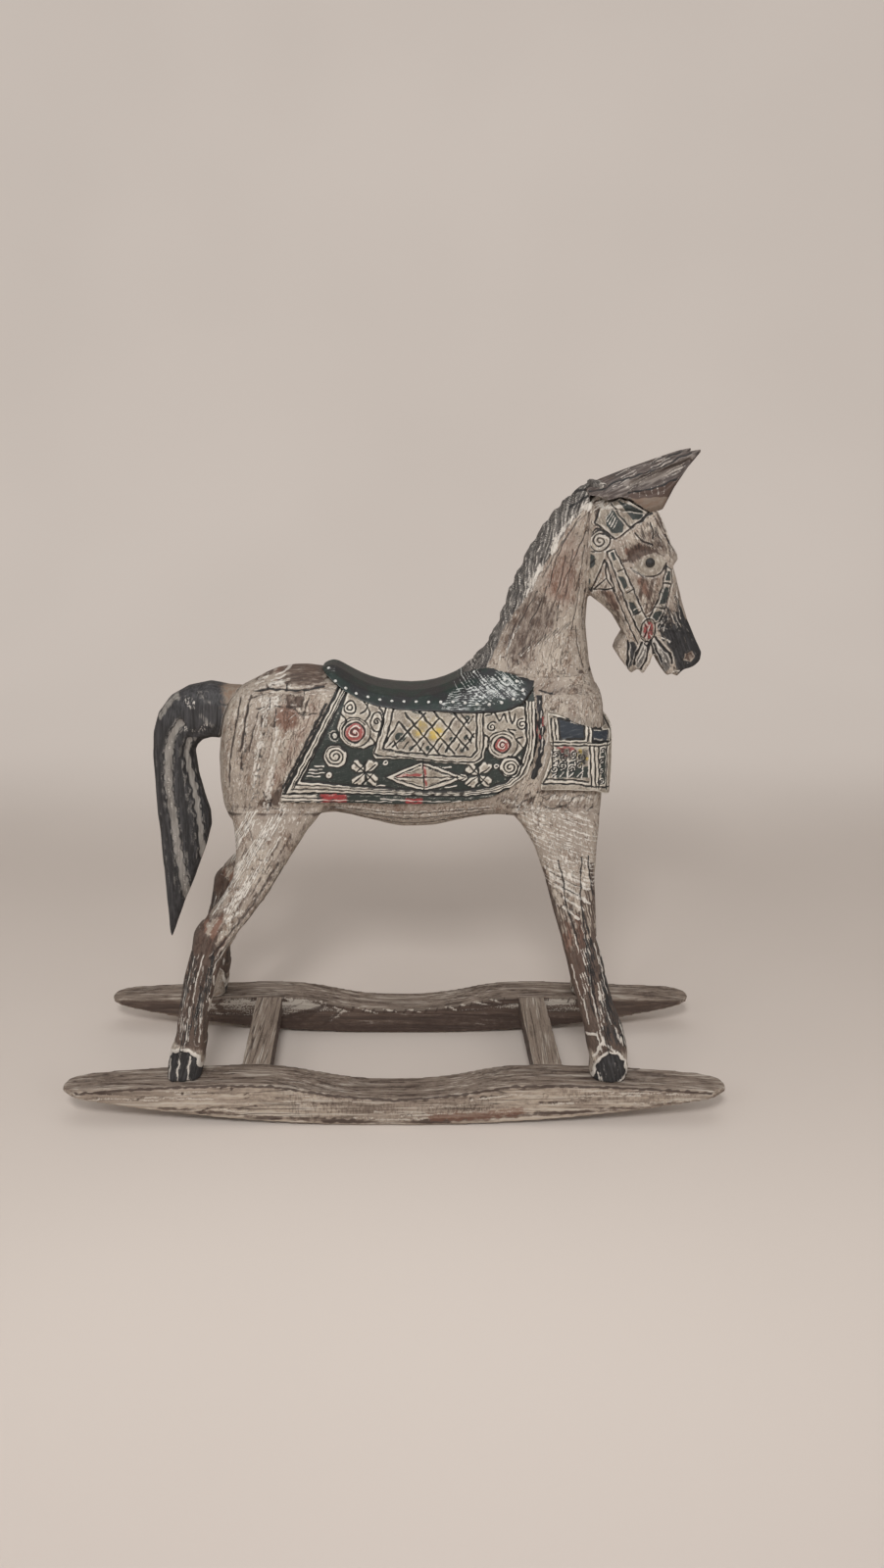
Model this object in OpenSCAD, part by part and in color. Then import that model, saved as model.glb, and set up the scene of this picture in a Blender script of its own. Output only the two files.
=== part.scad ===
// Carved rocking horse: a log-built wooden horse standing on two bow rockers.
// Origin on the floor under the middle of the rockers, +X towards the nose, +Z up.

/* [Rockers] */
// Length of each rocker
rocker_len = 600; // [580:5:620]
// Thickness of each rocker
rocker_t = 36; // [34:1:38]
// Clear distance between the rockers
rocker_gap = 130; // [128:1:134]
// Radius of the rolling edge
rock_radius = 1500; // [1400:50:1800]
// Height of the rocker tops where the bars join
rocker_h = 42; // [41:1:43]
// How far the rocker tops dip between the bars
rocker_dip = 14; // [10:1:16]

/* [Crossbars] */
// Width of each crossbar
bar_w = 26; // [24:1:30]
// Thickness of each crossbar
bar_t = 20; // [16:1:22]
// Middle of the rear crossbar
rear_bar_x = -131; // [-134:1:-128]
// Middle of the front crossbar
front_bar_x = 138; // [134:1:142]
// How far each bar end sits off square, forwards on the near side
bar_skew = 3; // [0:0.5:4]
// Depth of each tenon in its rocker
tenon_len = 20; // [16:1:24]

/* [Body] */
// Half the width of the trunk
trunk_hw = 48; // [46:1:50]
// Height of the glue line along the back
deck_z = 384; // [383:1:385]
// Height of the glue line under the neck
neck_z = 398; // [396:1:400]
// Height of the leg seats at the middle of the trunk
hip_z = 269; // [268:1:270]
// Slant of the leg seats
hip_tilt = 15; // [13:1:17]
// Upright joint between the neck and the head
head_x = 168; // [167:1:169]

/* [Tack] */
// Thickness of the saddle cloth panels
cloth_t = 4; // [3:0.5:4.5]
// How far the breastplate stands off the chest
plate_t = 6; // [5.5:0.5:8]
// Diameter of the eye beads
eye_d = 9; // [8:0.5:10]

/* [Dowels] */
// Diameter of the hip and foot dowels
dowel_d = 10; // [8:1:11]
// Diameter of the neck, head and tail dowels
stout_d = 12; // [10:1:13]

/* [Hidden] */
$fn = 48;

rocker_y = (rocker_gap + rocker_t) / 2;
bar_z = rocker_h - bar_t;
far = 800;

whitewash = [0.66, 0.61, 0.56];
charcoal = [0.25, 0.25, 0.25];
driftwood = [0.45, 0.40, 0.36];
saddle_green = [0.16, 0.2, 0.18];
beech = [0.72, 0.55, 0.36];

// ---- Shared functions ----

// One coordinate of a superellipse: an e of 2 is a true ellipse, a larger one is squarer
function squared(c, e) = sign(c) * pow(abs(c), 2 / e);

// A point on the smooth curve from b to c, with a before them and d after
function between(a, b, c, d, t) =
    0.5 * (2 * b + (c - a) * t + (2 * a - 5 * b + 4 * c - d) * t * t + (3 * b - a - 3 * c + d) * t * t * t);

// The rows of p, with k - 1 smooth rows between each pair
function smooth(p, k) = let (n = len(p) - 1) concat(
    [for (i = [0:n - 1]) for (j = [0:k - 1])
        between(p[max(i - 1, 0)], p[i], p[i + 1], p[min(i + 2, n)], j / k)],
    [p[n]]);

// Closed skin over flat rings that all have the same number of points. The rings are listed
// from the tail end to the nose end, or from the lowest to the highest
module loft(rings) {
    n = len(rings[0]);
    m = len(rings);
    sides = [for (i = [0:m - 2]) for (j = [0:n - 1])
        let (a = i * n + j, b = i * n + (j + 1) % n) each [[a, b + n, b], [a, a + n, b + n]]];
    first = [for (j = [0:n - 1]) j];
    last = [for (j = [n - 1:-1:0]) (m - 1) * n + j];
    polyhedron([for (r = rings) each r], concat([first], sides, [last]));
}

// Ring across the trunk: s = [x, bottom, widest height, top, half width, lower and upper squareness]
function cross_ring(s, n) = [for (i = [0:n - 1])
    let (t = 360 * (i + 0.5) / n, up = sin(t) > 0, e = up ? s[6] : s[5])
    [s[0], s[4] * squared(cos(t), e), s[2] + (up ? s[3] - s[2] : s[2] - s[1]) * squared(sin(t), e)]];

// Level ring: s = [z, back x, front x, middle y, half thickness, squareness]
function level_ring(s, n) = [for (i = [0:n - 1]) let (t = 360 * (i + 0.5) / n)
    [(s[1] + s[2]) / 2 + (s[2] - s[1]) / 2 * squared(cos(t), s[5]), s[3] + s[4] * squared(sin(t), s[5]), s[0]]];

// Ring between two points of a side view:
// s = [upper x, upper z, lower x, lower z, middle y, half thickness, squareness]
function span_ring(s, n) = [for (i = [0:n - 1])
    let (t = 360 * (i + 0.5) / n, c = squared(sin(t), s[6]) / 2)
    [(s[0] + s[2]) / 2 + (s[0] - s[2]) * c, s[4] + s[5] * squared(cos(t), s[6]),
        (s[1] + s[3]) / 2 + (s[1] - s[3]) * c]];

// A side view outline, solid from y0 to y1
module profile(points, y0, y1) {
    translate([0, y1, 0]) rotate([90, 0, 0]) linear_extrude(y1 - y0) polygon(points);
}

module slab(z0, z1) {
    translate([-far / 2, -far / 2, z0]) cube([far, far, z1 - z0]);
}

// Takes what is modelled on the near side (-1) over to the far side (1)
module on_side(side) {
    mirror([0, side > 0 ? 1 : 0, 0]) children();
}

module both_sides() {
    on_side(-1) children();
    on_side(1) children();
}

// ---- Rockers and crossbars ----

// Top edge from the middle of the rocker to its tip
rocker_half_top = [
    [0, rocker_h - rocker_dip], [26, rocker_h - rocker_dip + 0.5], [56, rocker_h - rocker_dip * 0.7],
    [82, rocker_h - rocker_dip * 0.3], [106, rocker_h - 0.6], [124, rocker_h], [152, rocker_h],
    [200, rocker_h - 2], [250, rocker_h - 4], [rocker_len / 2 - 12, rocker_h - 6.5],
    [rocker_len / 2, rocker_h - 8]];

// Side view of the plank before its rolling edge is cut
function rocker_blank() = let (half = smooth(rocker_half_top, 2), n = len(half) - 1, tip = rocker_len / 2) concat(
    [for (i = [n:-1:1]) [-half[i][0], half[i][1]]],
    half,
    [[tip, -1], [-tip, -1]]);

// Plan of a rocker about its own centre line: the inner edge draws in towards the rounded tips.
// The inner edge is on the +y side here
rocker_corner = [
    [200, 0], [250, 3], [276, 5], [290, 8], [297, 13], [300, 20], [299, 26], [295, 32], [288, 35], [280, 36]];

function rocker_plan() = let (n = len(rocker_corner) - 1, k = rocker_len / 600) concat(
    [for (p = rocker_corner) [p[0] * k, rocker_t * (0.5 - p[1] / 36)]],
    [for (i = [n:-1:0]) let (p = rocker_corner[i]) [-p[0] * k, rocker_t * (0.5 - p[1] / 36)]]);

// Middle of a crossbar where it meets a rocker, near (-1) or far (1)
function bar_end(x, side) = x - side * bar_skew;

module tenons(x) {
    for (side = [-1, 1])
        translate([bar_end(x, side) - bar_w / 2 + 4, side * rocker_gap / 2 - (side < 0 ? tenon_len : 1), bar_z + 4])
            cube([bar_w - 8, tenon_len + 1, bar_t - 8]);
}

module crossbar(x) {
    near = bar_end(x, -1);
    away = bar_end(x, 1);
    color(driftwood) difference() {
        union() {
            translate([0, 0, bar_z]) linear_extrude(bar_t) polygon([
                [near - bar_w / 2, -rocker_gap / 2], [near + bar_w / 2, -rocker_gap / 2],
                [away + bar_w / 2, rocker_gap / 2], [away - bar_w / 2, rocker_gap / 2]]);
            tenons(x);
        }
        crossbar_screw_set();
    }
}

// The rolling edge is one long round arc
module rocker(side) {
    color(driftwood) difference() {
        intersection() {
            profile(rocker_blank(), side * rocker_y - rocker_t / 2, side * rocker_y + rocker_t / 2);
            on_side(side) translate([0, -rocker_y, -2]) linear_extrude(rocker_h + 4) polygon(rocker_plan());
            translate([0, side * rocker_y + rocker_t, rock_radius]) rotate([90, 0, 0])
                cylinder(r = rock_radius, h = 2 * rocker_t, $fn = 720);
        }
        tenons(rear_bar_x);
        tenons(front_bar_x);
        foot_dowel_set();
        crossbar_screw_set();
    }
}

// ---- Dowels and screws ----

// Pairs of dowels stand square to the slanted leg seats
module hip_dowel_set() {
    both_sides() for (x = [-116, -91, 134, 162])
        translate([x, -30, hip_z + 30 * tan(hip_tilt)]) rotate([-hip_tilt, 0, 0])
            translate([0, 0, -24]) cylinder(d = dowel_d, h = 44);
}

module foot_dowel_set() {
    for (p = [[-191, -1], [-197, 1], [193, -1], [193, 1]])
        translate([p[0], p[1] * (rocker_y - 2), 20]) cylinder(d = dowel_d, h = 44);
}

module neck_dowel_set() {
    for (x = [106, 146]) translate([x, 0, 348]) cylinder(d = stout_d, h = 86);
}

module head_dowel_bar() {
    translate([head_x - 32, 0, 506]) rotate([0, 90, 0]) cylinder(d = stout_d, h = 62);
}

module tail_dowel_bar() {
    translate([-176, 0, 358]) rotate([0, 90, 0]) cylinder(d = stout_d, h = 60);
}

// Countersunk screws run from the outer faces of the rockers into the bars
module crossbar_screw_set() {
    for (x = [rear_bar_x, front_bar_x], side = [-1, 1])
        translate([bar_end(x, side), side * (rocker_y + rocker_t / 2 - 0.6), bar_z + bar_t / 2])
            rotate([side * 90, 0, 0]) {
                cylinder(d1 = 8, d2 = 4, h = 4);
                cylinder(d = 4, h = 55);
            }
}

// ---- Forms that the wooden blocks are cut from ----

trunk_rows = [
    [-155, 288, 310, 330, 12, 2.4, 2.2], [-152, 270, 312, 352, 27, 2.4, 2.2],
    [-143, 258, 316, 376, 40, 2.8, 2.3], [-126, 257, 320, 388, 46, 3.2, 2.4],
    [-102, 261, 324, 399, 49, 3.6, 2.4], [-76, 268, 326, 402, 49, 3.4, 2.5], [-50, 271, 328, 397, 49, 3, 3],
    [-22, 262, 330, 385, 48, 2.6, 3.8], [8, 255, 330, 377, 48, 2.5, 4.2], [38, 256, 330, 378, 48, 2.5, 4.2],
    [66, 264, 330, 387, 48, 2.8, 4], [94, 269, 330, 395, 48, 3.4, 3.8], [122, 266, 330, 396, 48, 3.6, 3.6],
    [148, 257, 328, 396, 47.5, 3.8, 3.4], [168, 251, 324, 393, 45, 3.8, 3.4], [181, 252, 318, 385, 37, 3.4, 3],
    [185, 262, 312, 366, 28, 2.8, 2.8], [187, 282, 312, 342, 14, 2.4, 2.4]];

// Trunk log from x0 to x1, or the skin around it that the tack is cut from
module trunk_form(x0 = -far, x1 = far, grow = 0) {
    wide = trunk_hw / 48;
    loft([for (s = smooth(trunk_rows, 2)) if (s[0] >= x0 && s[0] <= x1) cross_ring(
        [s[0] + grow * s[0] / 190, s[1] - grow, s[2], s[3] + grow, s[4] * wide + grow, s[5], s[6]], 20)]);
}

// Withers and neck in one flowing form, up to the height z1
neck_rows = [
    [380, 53, 181, 0, 40.5, 3], [390, 57, 177.5, 0, 37.5, 2.8], [402, 65, 174, 0, 33, 2.6],
    [417, 80, 171, 0, 29.5, 2.5], [440, 92, 168.5, 0, 26.5, 2.4], [466, 101, 169.5, 0, 24.5, 2.4],
    [492, 113, 173, 0, 23.5, 2.4], [514, 124.5, 176, 0, 23, 2.4], [534, 139, 180, 0, 22, 2.4],
    [548, 153, 184, 0, 18, 2.3], [557, 166, 186, 0, 10, 2.2]];

module neck_form(z1 = far) {
    loft([for (s = smooth(neck_rows, 2)) if (s[0] <= z1) level_ring(s, 20)]);
}

// The near legs, from the rocker up into the trunk
hind_rows = [
    [26, -206, -177, -81, 15, 3.4], [56, -204, -172, -80, 15, 3.4], [74, -198, -168, -78.5, 14.5, 3.4],
    [82, -195, -167.5, -77.5, 13.5, 3.6], [104, -192, -165, -75, 13, 3.8], [134, -186, -158, -71.5, 13.5, 3.8],
    [160, -179, -147, -68, 14.5, 3.6], [177, -176, -135, -65, 15.5, 3.4], [190, -164, -124, -61.5, 15.5, 3.2],
    [206, -151, -112, -57, 15.5, 3.2], [222, -142, -101, -51, 16, 3], [240, -139, -90, -44.5, 17, 3],
    [262, -141, -75, -36, 18, 2.8], [284, -146, -56, -28, 18, 2.8]];
front_rows = [
    [26, 179, 208, -81, 15, 3.4], [56, 177, 211, -80, 15.5, 3.4], [72, 173.5, 210, -78.5, 15.5, 3.4],
    [88, 171, 206, -76, 15, 3.4], [106, 166, 198, -73, 14.5, 3.6], [130, 159, 191, -69, 15, 3.6],
    [154, 153, 185.5, -64, 15.5, 3.6], [170, 149, 181, -60, 15.5, 3.6], [196, 141, 180, -54, 16, 3.4],
    [224, 133.5, 179, -47, 16.5, 3.2], [250, 124, 181, -40, 17.5, 3], [268, 113, 183, -34, 18, 3],
    [286, 94, 184, -28, 18, 3]];

// The far hind leg was carved a little further back than the near one
far_hind_rows = [for (s = hind_rows) let (back = 6 * min(1, max(0, (262 - s[0]) / 60)))
    [s[0], s[1] - back, s[2] - back, s[3], s[4], s[5]]];

module leg_form(rows) {
    loft([for (s = rows) level_ring(s, 14)]);
}

// What lies below the slanted seat of a near leg
module below_seat() {
    translate([0, 0, hip_z]) rotate([-hip_tilt, 0, 0]) translate([-far / 2, -far / 2, -far])
        cube([far, far, far]);
}

module leg_block(rows) {
    intersection() {
        leg_form(rows);
        below_seat();
    }
}

// A leg: side is -1 for the near one and 1 for the far one
module leg(rows, side) {
    color(whitewash) difference() {
        on_side(side) leg_block(rows);
        profile(rocker_blank(), -far / 2, far / 2);
        hip_dowel_set();
        foot_dowel_set();
    }
}

// Head: the rings carry the width, and the side outline carries the brow, lips and chin
head_rows = [
    [158, 562, 158, 466, 0, 21, 2.6], [172, 560, 169, 462, 0, 22.5, 2.6], [200, 553, 172, 459, 0, 25, 2.8],
    [227, 541, 178, 456, 0, 26.5, 3], [240, 514, 184, 452, 0, 26, 3], [245, 495, 190, 446, 0, 24.5, 3],
    [248, 473, 196, 436, 0, 21.5, 3], [257, 446, 194, 424, 0, 19, 2.8], [266, 428, 190, 412, 0, 17.5, 2.8],
    [272, 416, 200, 399, 0, 16, 2.6], [270, 405, 214, 390, 0, 14, 2.4], [262, 398, 230, 386, 0, 9, 2.2]];
head_outline = [
    [158, 466], [158, 566], [200, 560], [229, 533], [236, 516], [246, 497], [238, 491], [247, 469],
    [255, 444], [264.5, 425], [270, 414.5], [268.5, 407], [262, 402.5], [254, 400.5], [249, 394.5], [243.5, 397.5],
    [240, 395.5], [233.5, 405], [227, 418], [224, 406], [219, 396.5], [214, 401.5], [209, 396.5], [202, 405],
    [194, 417], [196, 424], [202, 431], [192, 447], [180, 458], [169, 466]];

module head_form() {
    intersection() {
        loft([for (s = smooth(head_rows, 2)) span_ring(s, 18)]);
        profile(head_outline, -40, 40);
    }
}

// Ears: leaf shapes hollowed from the outer side
ear_rows = [
    [163, 554, 170, 536, -11, 9, 2.4], [178, 561, 190, 534, -14, 11, 2.4], [199, 569, 212, 532, -16, 11.5, 2.4],
    [217, 575, 227, 537, -17.5, 10, 2.4], [232, 580, 235.5, 555, -18.5, 8, 2.2], [245, 584, 245.5, 571, -19.5, 5, 2],
    [255.5, 586, 255.5, 583.5, -20, 1.5, 2]];
ear_hollow_rows = [
    [196, 560, 200, 552, -26, 3, 2], [207, 566, 212, 549, -27, 7, 2], [222, 571, 226, 553, -27, 8, 2],
    [237, 576, 239, 564, -25.5, 6, 2], [247, 580, 248, 575, -23.5, 3, 2]];

module ear_form() {
    loft([for (s = ear_rows) span_ring(s, 12)]);
}

module ear() {
    color(charcoal) difference() {
        ear_form();
        loft([for (s = ear_hollow_rows) span_ring(s, 10)]);
    }
}

// Tail: the rings follow the outer and the inner edge of its side view, from the tip to the root
tail_rows = [
    [-213.5, 141, -212, 141, 0, 1.5, 2], [-214, 150, -208, 151, 0, 3.5, 2.2], [-214.5, 175, -198, 177, 0, 7, 2.4],
    [-215, 200, -186, 203, 0, 9.5, 2.4], [-215.5, 226, -175, 231, 0, 11.5, 2.6], [-216, 245, -168, 253, 0, 12.5, 2.6],
    [-217, 267, -168, 266, 0, 13, 2.6], [-217, 294, -173, 283, 0, 13.5, 2.6], [-217, 320, -177, 301, 0, 14, 2.6],
    [-215, 343, -178, 312, 0, 15, 2.6], [-209, 361, -179, 323, 0, 16.5, 2.6], [-198, 375, -176, 329, 0, 18, 2.6],
    [-182, 384, -170, 335, 0, 19, 2.6], [-162, 388, -162, 337, 0, 19, 2.6], [-146, 384.5, -150, 336, 0, 19, 2.6],
    [-124, 383.5, -124, 338, 0, 19, 2.6]];

module tail_form() {
    loft([for (s = tail_rows) span_ring(s, 12)]);
}

// ---- Tack ----

saddle_rows = [
    [-67, 310, 346, 395, 36, 3, 2.4], [-62, 310, 346, 402, 45, 3, 2.5], [-53, 310, 346, 405.5, 51, 3, 2.6],
    [-44, 310, 346, 402, 53, 3, 2.6], [-30, 310, 345, 393.5, 54, 3, 2.7], [-12, 310, 344, 386.5, 54, 3, 2.9],
    [16, 310, 343, 383.5, 54, 3, 3], [38, 310, 343, 386.5, 54, 3, 3], [56, 310, 345, 394, 54, 3, 2.9],
    [72, 310, 348, 405, 53, 3, 2.7], [84, 310, 350, 410, 52, 3, 2.6], [104, 310, 352, 411, 51.5, 3, 2.5],
    [126, 310, 354, 406, 51, 3, 2.4]];
saddle_outline = [
    [-70, 430], [-70, 404], [-58, 400], [-49, 394], [-40, 387.5], [-26, 380], [-12, 375], [4, 372.5], [20, 371.5],
    [66, 370.5], [88, 370.5], [102, 373], [112, 378], [119, 387], [124, 398], [108, 401], [90, 406], [78, 412],
    [78, 430]];
cloth_outline = [
    [-44, 396], [-98, 296], [-98, 290], [-60, 288.5], [0, 286.5], [36, 287], [68, 290], [86, 294], [102, 302],
    [115, 313], [123, 328], [126, 345], [126, 364], [121, 396]];
plate_outline = [
    [133, 371], [142, 369.5], [156, 363], [172, 357], [188, 354], [210, 353], [210, 290], [190, 295], [176, 301],
    [153, 303], [129, 303], [129, 308], [134, 324], [138, 341], [135, 347]];

module cloth() {
    color(charcoal) difference() {
        intersection() {
            trunk_form(-103, 136, cloth_t);
            profile(cloth_outline, -far / 2, -20);
        }
        trunk_form(-115, 150);
        profile(saddle_outline, -far / 2, far / 2);
    }
}

module saddle() {
    color(saddle_green) difference() {
        intersection() {
            loft([for (s = smooth(saddle_rows, 2)) cross_ring(s, 20)]);
            profile(saddle_outline, -80, 80);
        }
        trunk_form(-77, 136);
        neck_form(430);
    }
}

module breastplate() {
    color(charcoal) difference() {
        intersection() {
            trunk_form(120, far, plate_t);
            profile(plate_outline, -far / 2, far / 2);
        }
        trunk_form(105);
    }
}

module eye_set() {
    color("black") both_sides() translate([218, -27, 494]) rotate([-90, 0, 0]) rotate_extrude()
        polygon([[0, 1], [eye_d * 0.25, 1.3], [eye_d * 0.42, 2.4], [eye_d / 2, 4], [eye_d / 2, 9], [0, 9]]);
}

// ---- Wooden blocks ----

module trunk() {
    color(whitewash) difference() {
        trunk_form();
        slab(deck_z, far);
        leg_block(hind_rows);
        on_side(1) leg_block(far_hind_rows);
        both_sides() leg_block(front_rows);
        hip_dowel_set();
        neck_dowel_set();
        tail_dowel_bar();
    }
}

module rump_cap() {
    color(whitewash) difference() {
        intersection() {
            trunk_form(-far, 0);
            slab(deck_z, far);
        }
        translate([-20, -far / 2, 0]) cube(far);
    }
}

module withers_cap() {
    color(whitewash) difference() {
        intersection() {
            neck_form(430);
            slab(deck_z, neck_z);
        }
        neck_dowel_set();
    }
}

module neck() {
    color(whitewash) difference() {
        intersection() {
            neck_form();
            slab(neck_z, far);
        }
        translate([head_x, -far / 2, 466]) cube(far);
        both_sides() ear_form();
        neck_dowel_set();
        head_dowel_bar();
    }
}

module head() {
    color(whitewash) difference() {
        intersection() {
            head_form();
            translate([head_x, -far / 2, 0]) cube(far);
        }
        both_sides() ear_form();
        head_dowel_bar();
        eye_set();
    }
}

module tail() {
    color(charcoal) difference() {
        tail_form();
        trunk_form(-far, -95);
        tail_dowel_bar();
    }
}

trunk();
rump_cap();
withers_cap();
neck();
head();
mirror([0, 1, 0]) ear();  // ear_left
ear();  // ear_right
eye_set();  // eyes
tail();
leg(front_rows, 1);  // leg_front_left
leg(front_rows, -1);  // leg_front_right
leg(far_hind_rows, 1);  // leg_hind_left
leg(hind_rows, -1);  // leg_hind_right
rocker(1);  // rocker_left
rocker(-1);  // rocker_right
crossbar(front_bar_x);  // crossbar_front
crossbar(rear_bar_x);  // crossbar_rear
saddle();
mirror([0, 1, 0]) cloth();  // saddle_cloth_left
cloth();  // saddle_cloth_right
breastplate();
color(beech) hip_dowel_set();  // hip_dowels
color(beech) foot_dowel_set();  // foot_dowels
color(beech) neck_dowel_set();  // neck_dowels
color(beech) head_dowel_bar();  // head_dowel
color(beech) tail_dowel_bar();  // tail_dowel
color("silver") crossbar_screw_set();  // crossbar_screws
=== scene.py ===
import math

import bpy
import numpy as np
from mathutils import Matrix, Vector


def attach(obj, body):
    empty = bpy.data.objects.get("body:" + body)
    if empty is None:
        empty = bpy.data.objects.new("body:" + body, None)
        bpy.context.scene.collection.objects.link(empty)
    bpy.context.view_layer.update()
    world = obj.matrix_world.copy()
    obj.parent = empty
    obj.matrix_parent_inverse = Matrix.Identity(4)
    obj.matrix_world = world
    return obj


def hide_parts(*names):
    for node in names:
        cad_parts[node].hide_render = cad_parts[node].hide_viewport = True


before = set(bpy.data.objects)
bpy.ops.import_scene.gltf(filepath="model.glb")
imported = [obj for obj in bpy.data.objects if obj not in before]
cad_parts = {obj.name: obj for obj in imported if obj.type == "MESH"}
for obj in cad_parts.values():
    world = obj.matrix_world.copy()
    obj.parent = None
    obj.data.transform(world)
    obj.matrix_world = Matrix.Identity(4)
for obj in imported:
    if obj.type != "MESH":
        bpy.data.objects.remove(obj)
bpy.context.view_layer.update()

MM = 0.001

# The lean of a grain that runs from side to side
ACROSS = 999

# Where the wooden blocks are glued together, in millimetres
DECK = 384
NECK_FOOT = 398
HEAD_JOINT = 168
THROAT = 466
HIP = 269
HIP_TILT = math.radians(15)


# ---------------------------------------------------------------- finishes as expressions


class Amount:
    """A number that varies over a surface. Arithmetic on it adds Math nodes to its recipe"""

    def __init__(self, recipe, socket):
        self.recipe = recipe
        self.socket = socket

    def math(self, operation, *values):
        made = self.recipe.node("Math", dict(enumerate(values)), operation=operation)
        return Amount(self.recipe, made.outputs[0])

    def __add__(self, other):
        return self.math("ADD", self, other)

    def __sub__(self, other):
        return self.math("SUBTRACT", self, other)

    def __rsub__(self, other):
        return self.math("SUBTRACT", other, self)

    def __mul__(self, other):
        return self.math("MULTIPLY", self, other)

    def __abs__(self):
        return self.math("ABSOLUTE", self)

    __radd__ = __add__
    __rmul__ = __mul__

    def between(self, low, high):
        """0 below low and 1 above high, with a soft step in between"""
        made = self.recipe.node("MapRange", {"Value": self, "From Min": low, "From Max": high},
            interpolation_type="SMOOTHSTEP")
        return Amount(self.recipe, made.outputs[0])

    def hairlines(self, width):
        """Thin lines that wander wherever the amount passes one half"""
        return 1 - abs(self - 0.5).between(0.0, width)


class Recipe:
    """One finish, built up as a node tree"""

    def __init__(self, name):
        self.material = bpy.data.materials.new(name)
        self.material.use_nodes = True
        self.tree = self.material.node_tree
        self.shader = self.tree.nodes["Principled BSDF"]

    def feed(self, socket, value):
        if isinstance(value, Amount):
            value = value.socket
        if isinstance(value, bpy.types.NodeSocket):
            self.tree.links.new(value, socket)
        else:
            socket.default_value = value

    def node(self, kind, sockets, **settings):
        made = self.tree.nodes.new("ShaderNode" + kind)
        for key, value in settings.items():
            setattr(made, key, value)
        for key, value in sockets.items():
            self.feed(made.inputs[key], value)
        return made

    def noise(self, size, lean=0, along=1.0, detail=3.0, rough=0.5, twist=0.0, shift=0.0):
        """Cloudy noise with blotches of about size millimetres. They are along times as long in the
        direction that leans so many degrees from upright towards the nose, or runs from side to side"""
        place = self.node("TexCoord", {}).outputs["Object"]
        turn = (math.radians(90), 0, 0) if lean == ACROSS else (0, -math.radians(lean), 0)
        turned = self.node("Mapping", {0: place, 2: turn}).outputs[0]
        scale = 1 / (size * MM)
        spread = self.node("Mapping", {0: turned, 1: (shift, 0, 0), 3: (scale, scale, scale / along)})
        looks = {"Scale": 1.0, "Detail": detail, "Roughness": rough, "Distortion": twist}
        return Amount(self, self.node("TexNoise", {"Vector": spread.outputs[0], **looks}).outputs[0])

    def layer(self, name):
        """A mask that was brushed on the piece"""
        return Amount(self, self.node("Attribute", {}, attribute_name=name).outputs["Fac"])

    def mix(self, mask, under, over):
        return self.node("Mix", {0: mask, 6: under, 7: over}, data_type="RGBA").outputs[2]

    def finish(self, colour, rough, relief=None, depth=0.4, coat=0.0, metal=0.0):
        """Relief is a height of about 0 to 1, and depth its full travel in millimetres"""
        self.feed(self.shader.inputs["Base Color"], colour)
        self.feed(self.shader.inputs["Roughness"], rough)
        self.shader.inputs["Metallic"].default_value = metal
        self.shader.inputs["Coat Weight"].default_value = coat
        if relief is not None:
            bump = self.node("Bump", {"Height": relief, "Distance": depth * MM})
            self.feed(self.shader.inputs["Normal"], bump.outputs[0])
        return self.material


def chip(red, green, blue):
    """A colour read from a paint chip, 0 to 255"""

    def linear(level):
        level /= 255
        return level / 12.92 if level <= 0.04045 else ((level + 0.055) / 1.055) ** 2.4

    return linear(red), linear(green), linear(blue), 1.0


LIMEWASH = chip(176, 163, 149)
LIMEWASH_GREY = chip(146, 133, 121)
CHALK = chip(214, 206, 196)
BARE_WOOD = chip(122, 100, 84)
RED_BROWN = chip(112, 76, 60)
DARK_BROWN = chip(62, 47, 40)
UMBER = chip(84, 66, 56)
SOOT = chip(34, 32, 32)
CHARCOAL = chip(66, 64, 65)
MANE_DARK = chip(60, 56, 54)
MANE_GREY = chip(116, 110, 104)
TAIL_GREY = chip(152, 146, 139)
DRIFTWOOD = chip(112, 97, 86)
DRIFT_MID = chip(142, 127, 114)
DRIFT_PALE = chip(178, 163, 146)
DRIFT_CHALK = chip(190, 180, 168)
DRIFT_DARK = chip(82, 68, 59)
BOTTLE_GREEN = chip(38, 47, 45)
GREEN_BLACK = chip(30, 40, 37)
CREAM = chip(168, 158, 144)
CREAM_DIRTY = chip(130, 119, 106)
ROSE = chip(150, 66, 64)
OCHRE = chip(196, 168, 74)
NAVY = chip(40, 46, 54)


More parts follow.
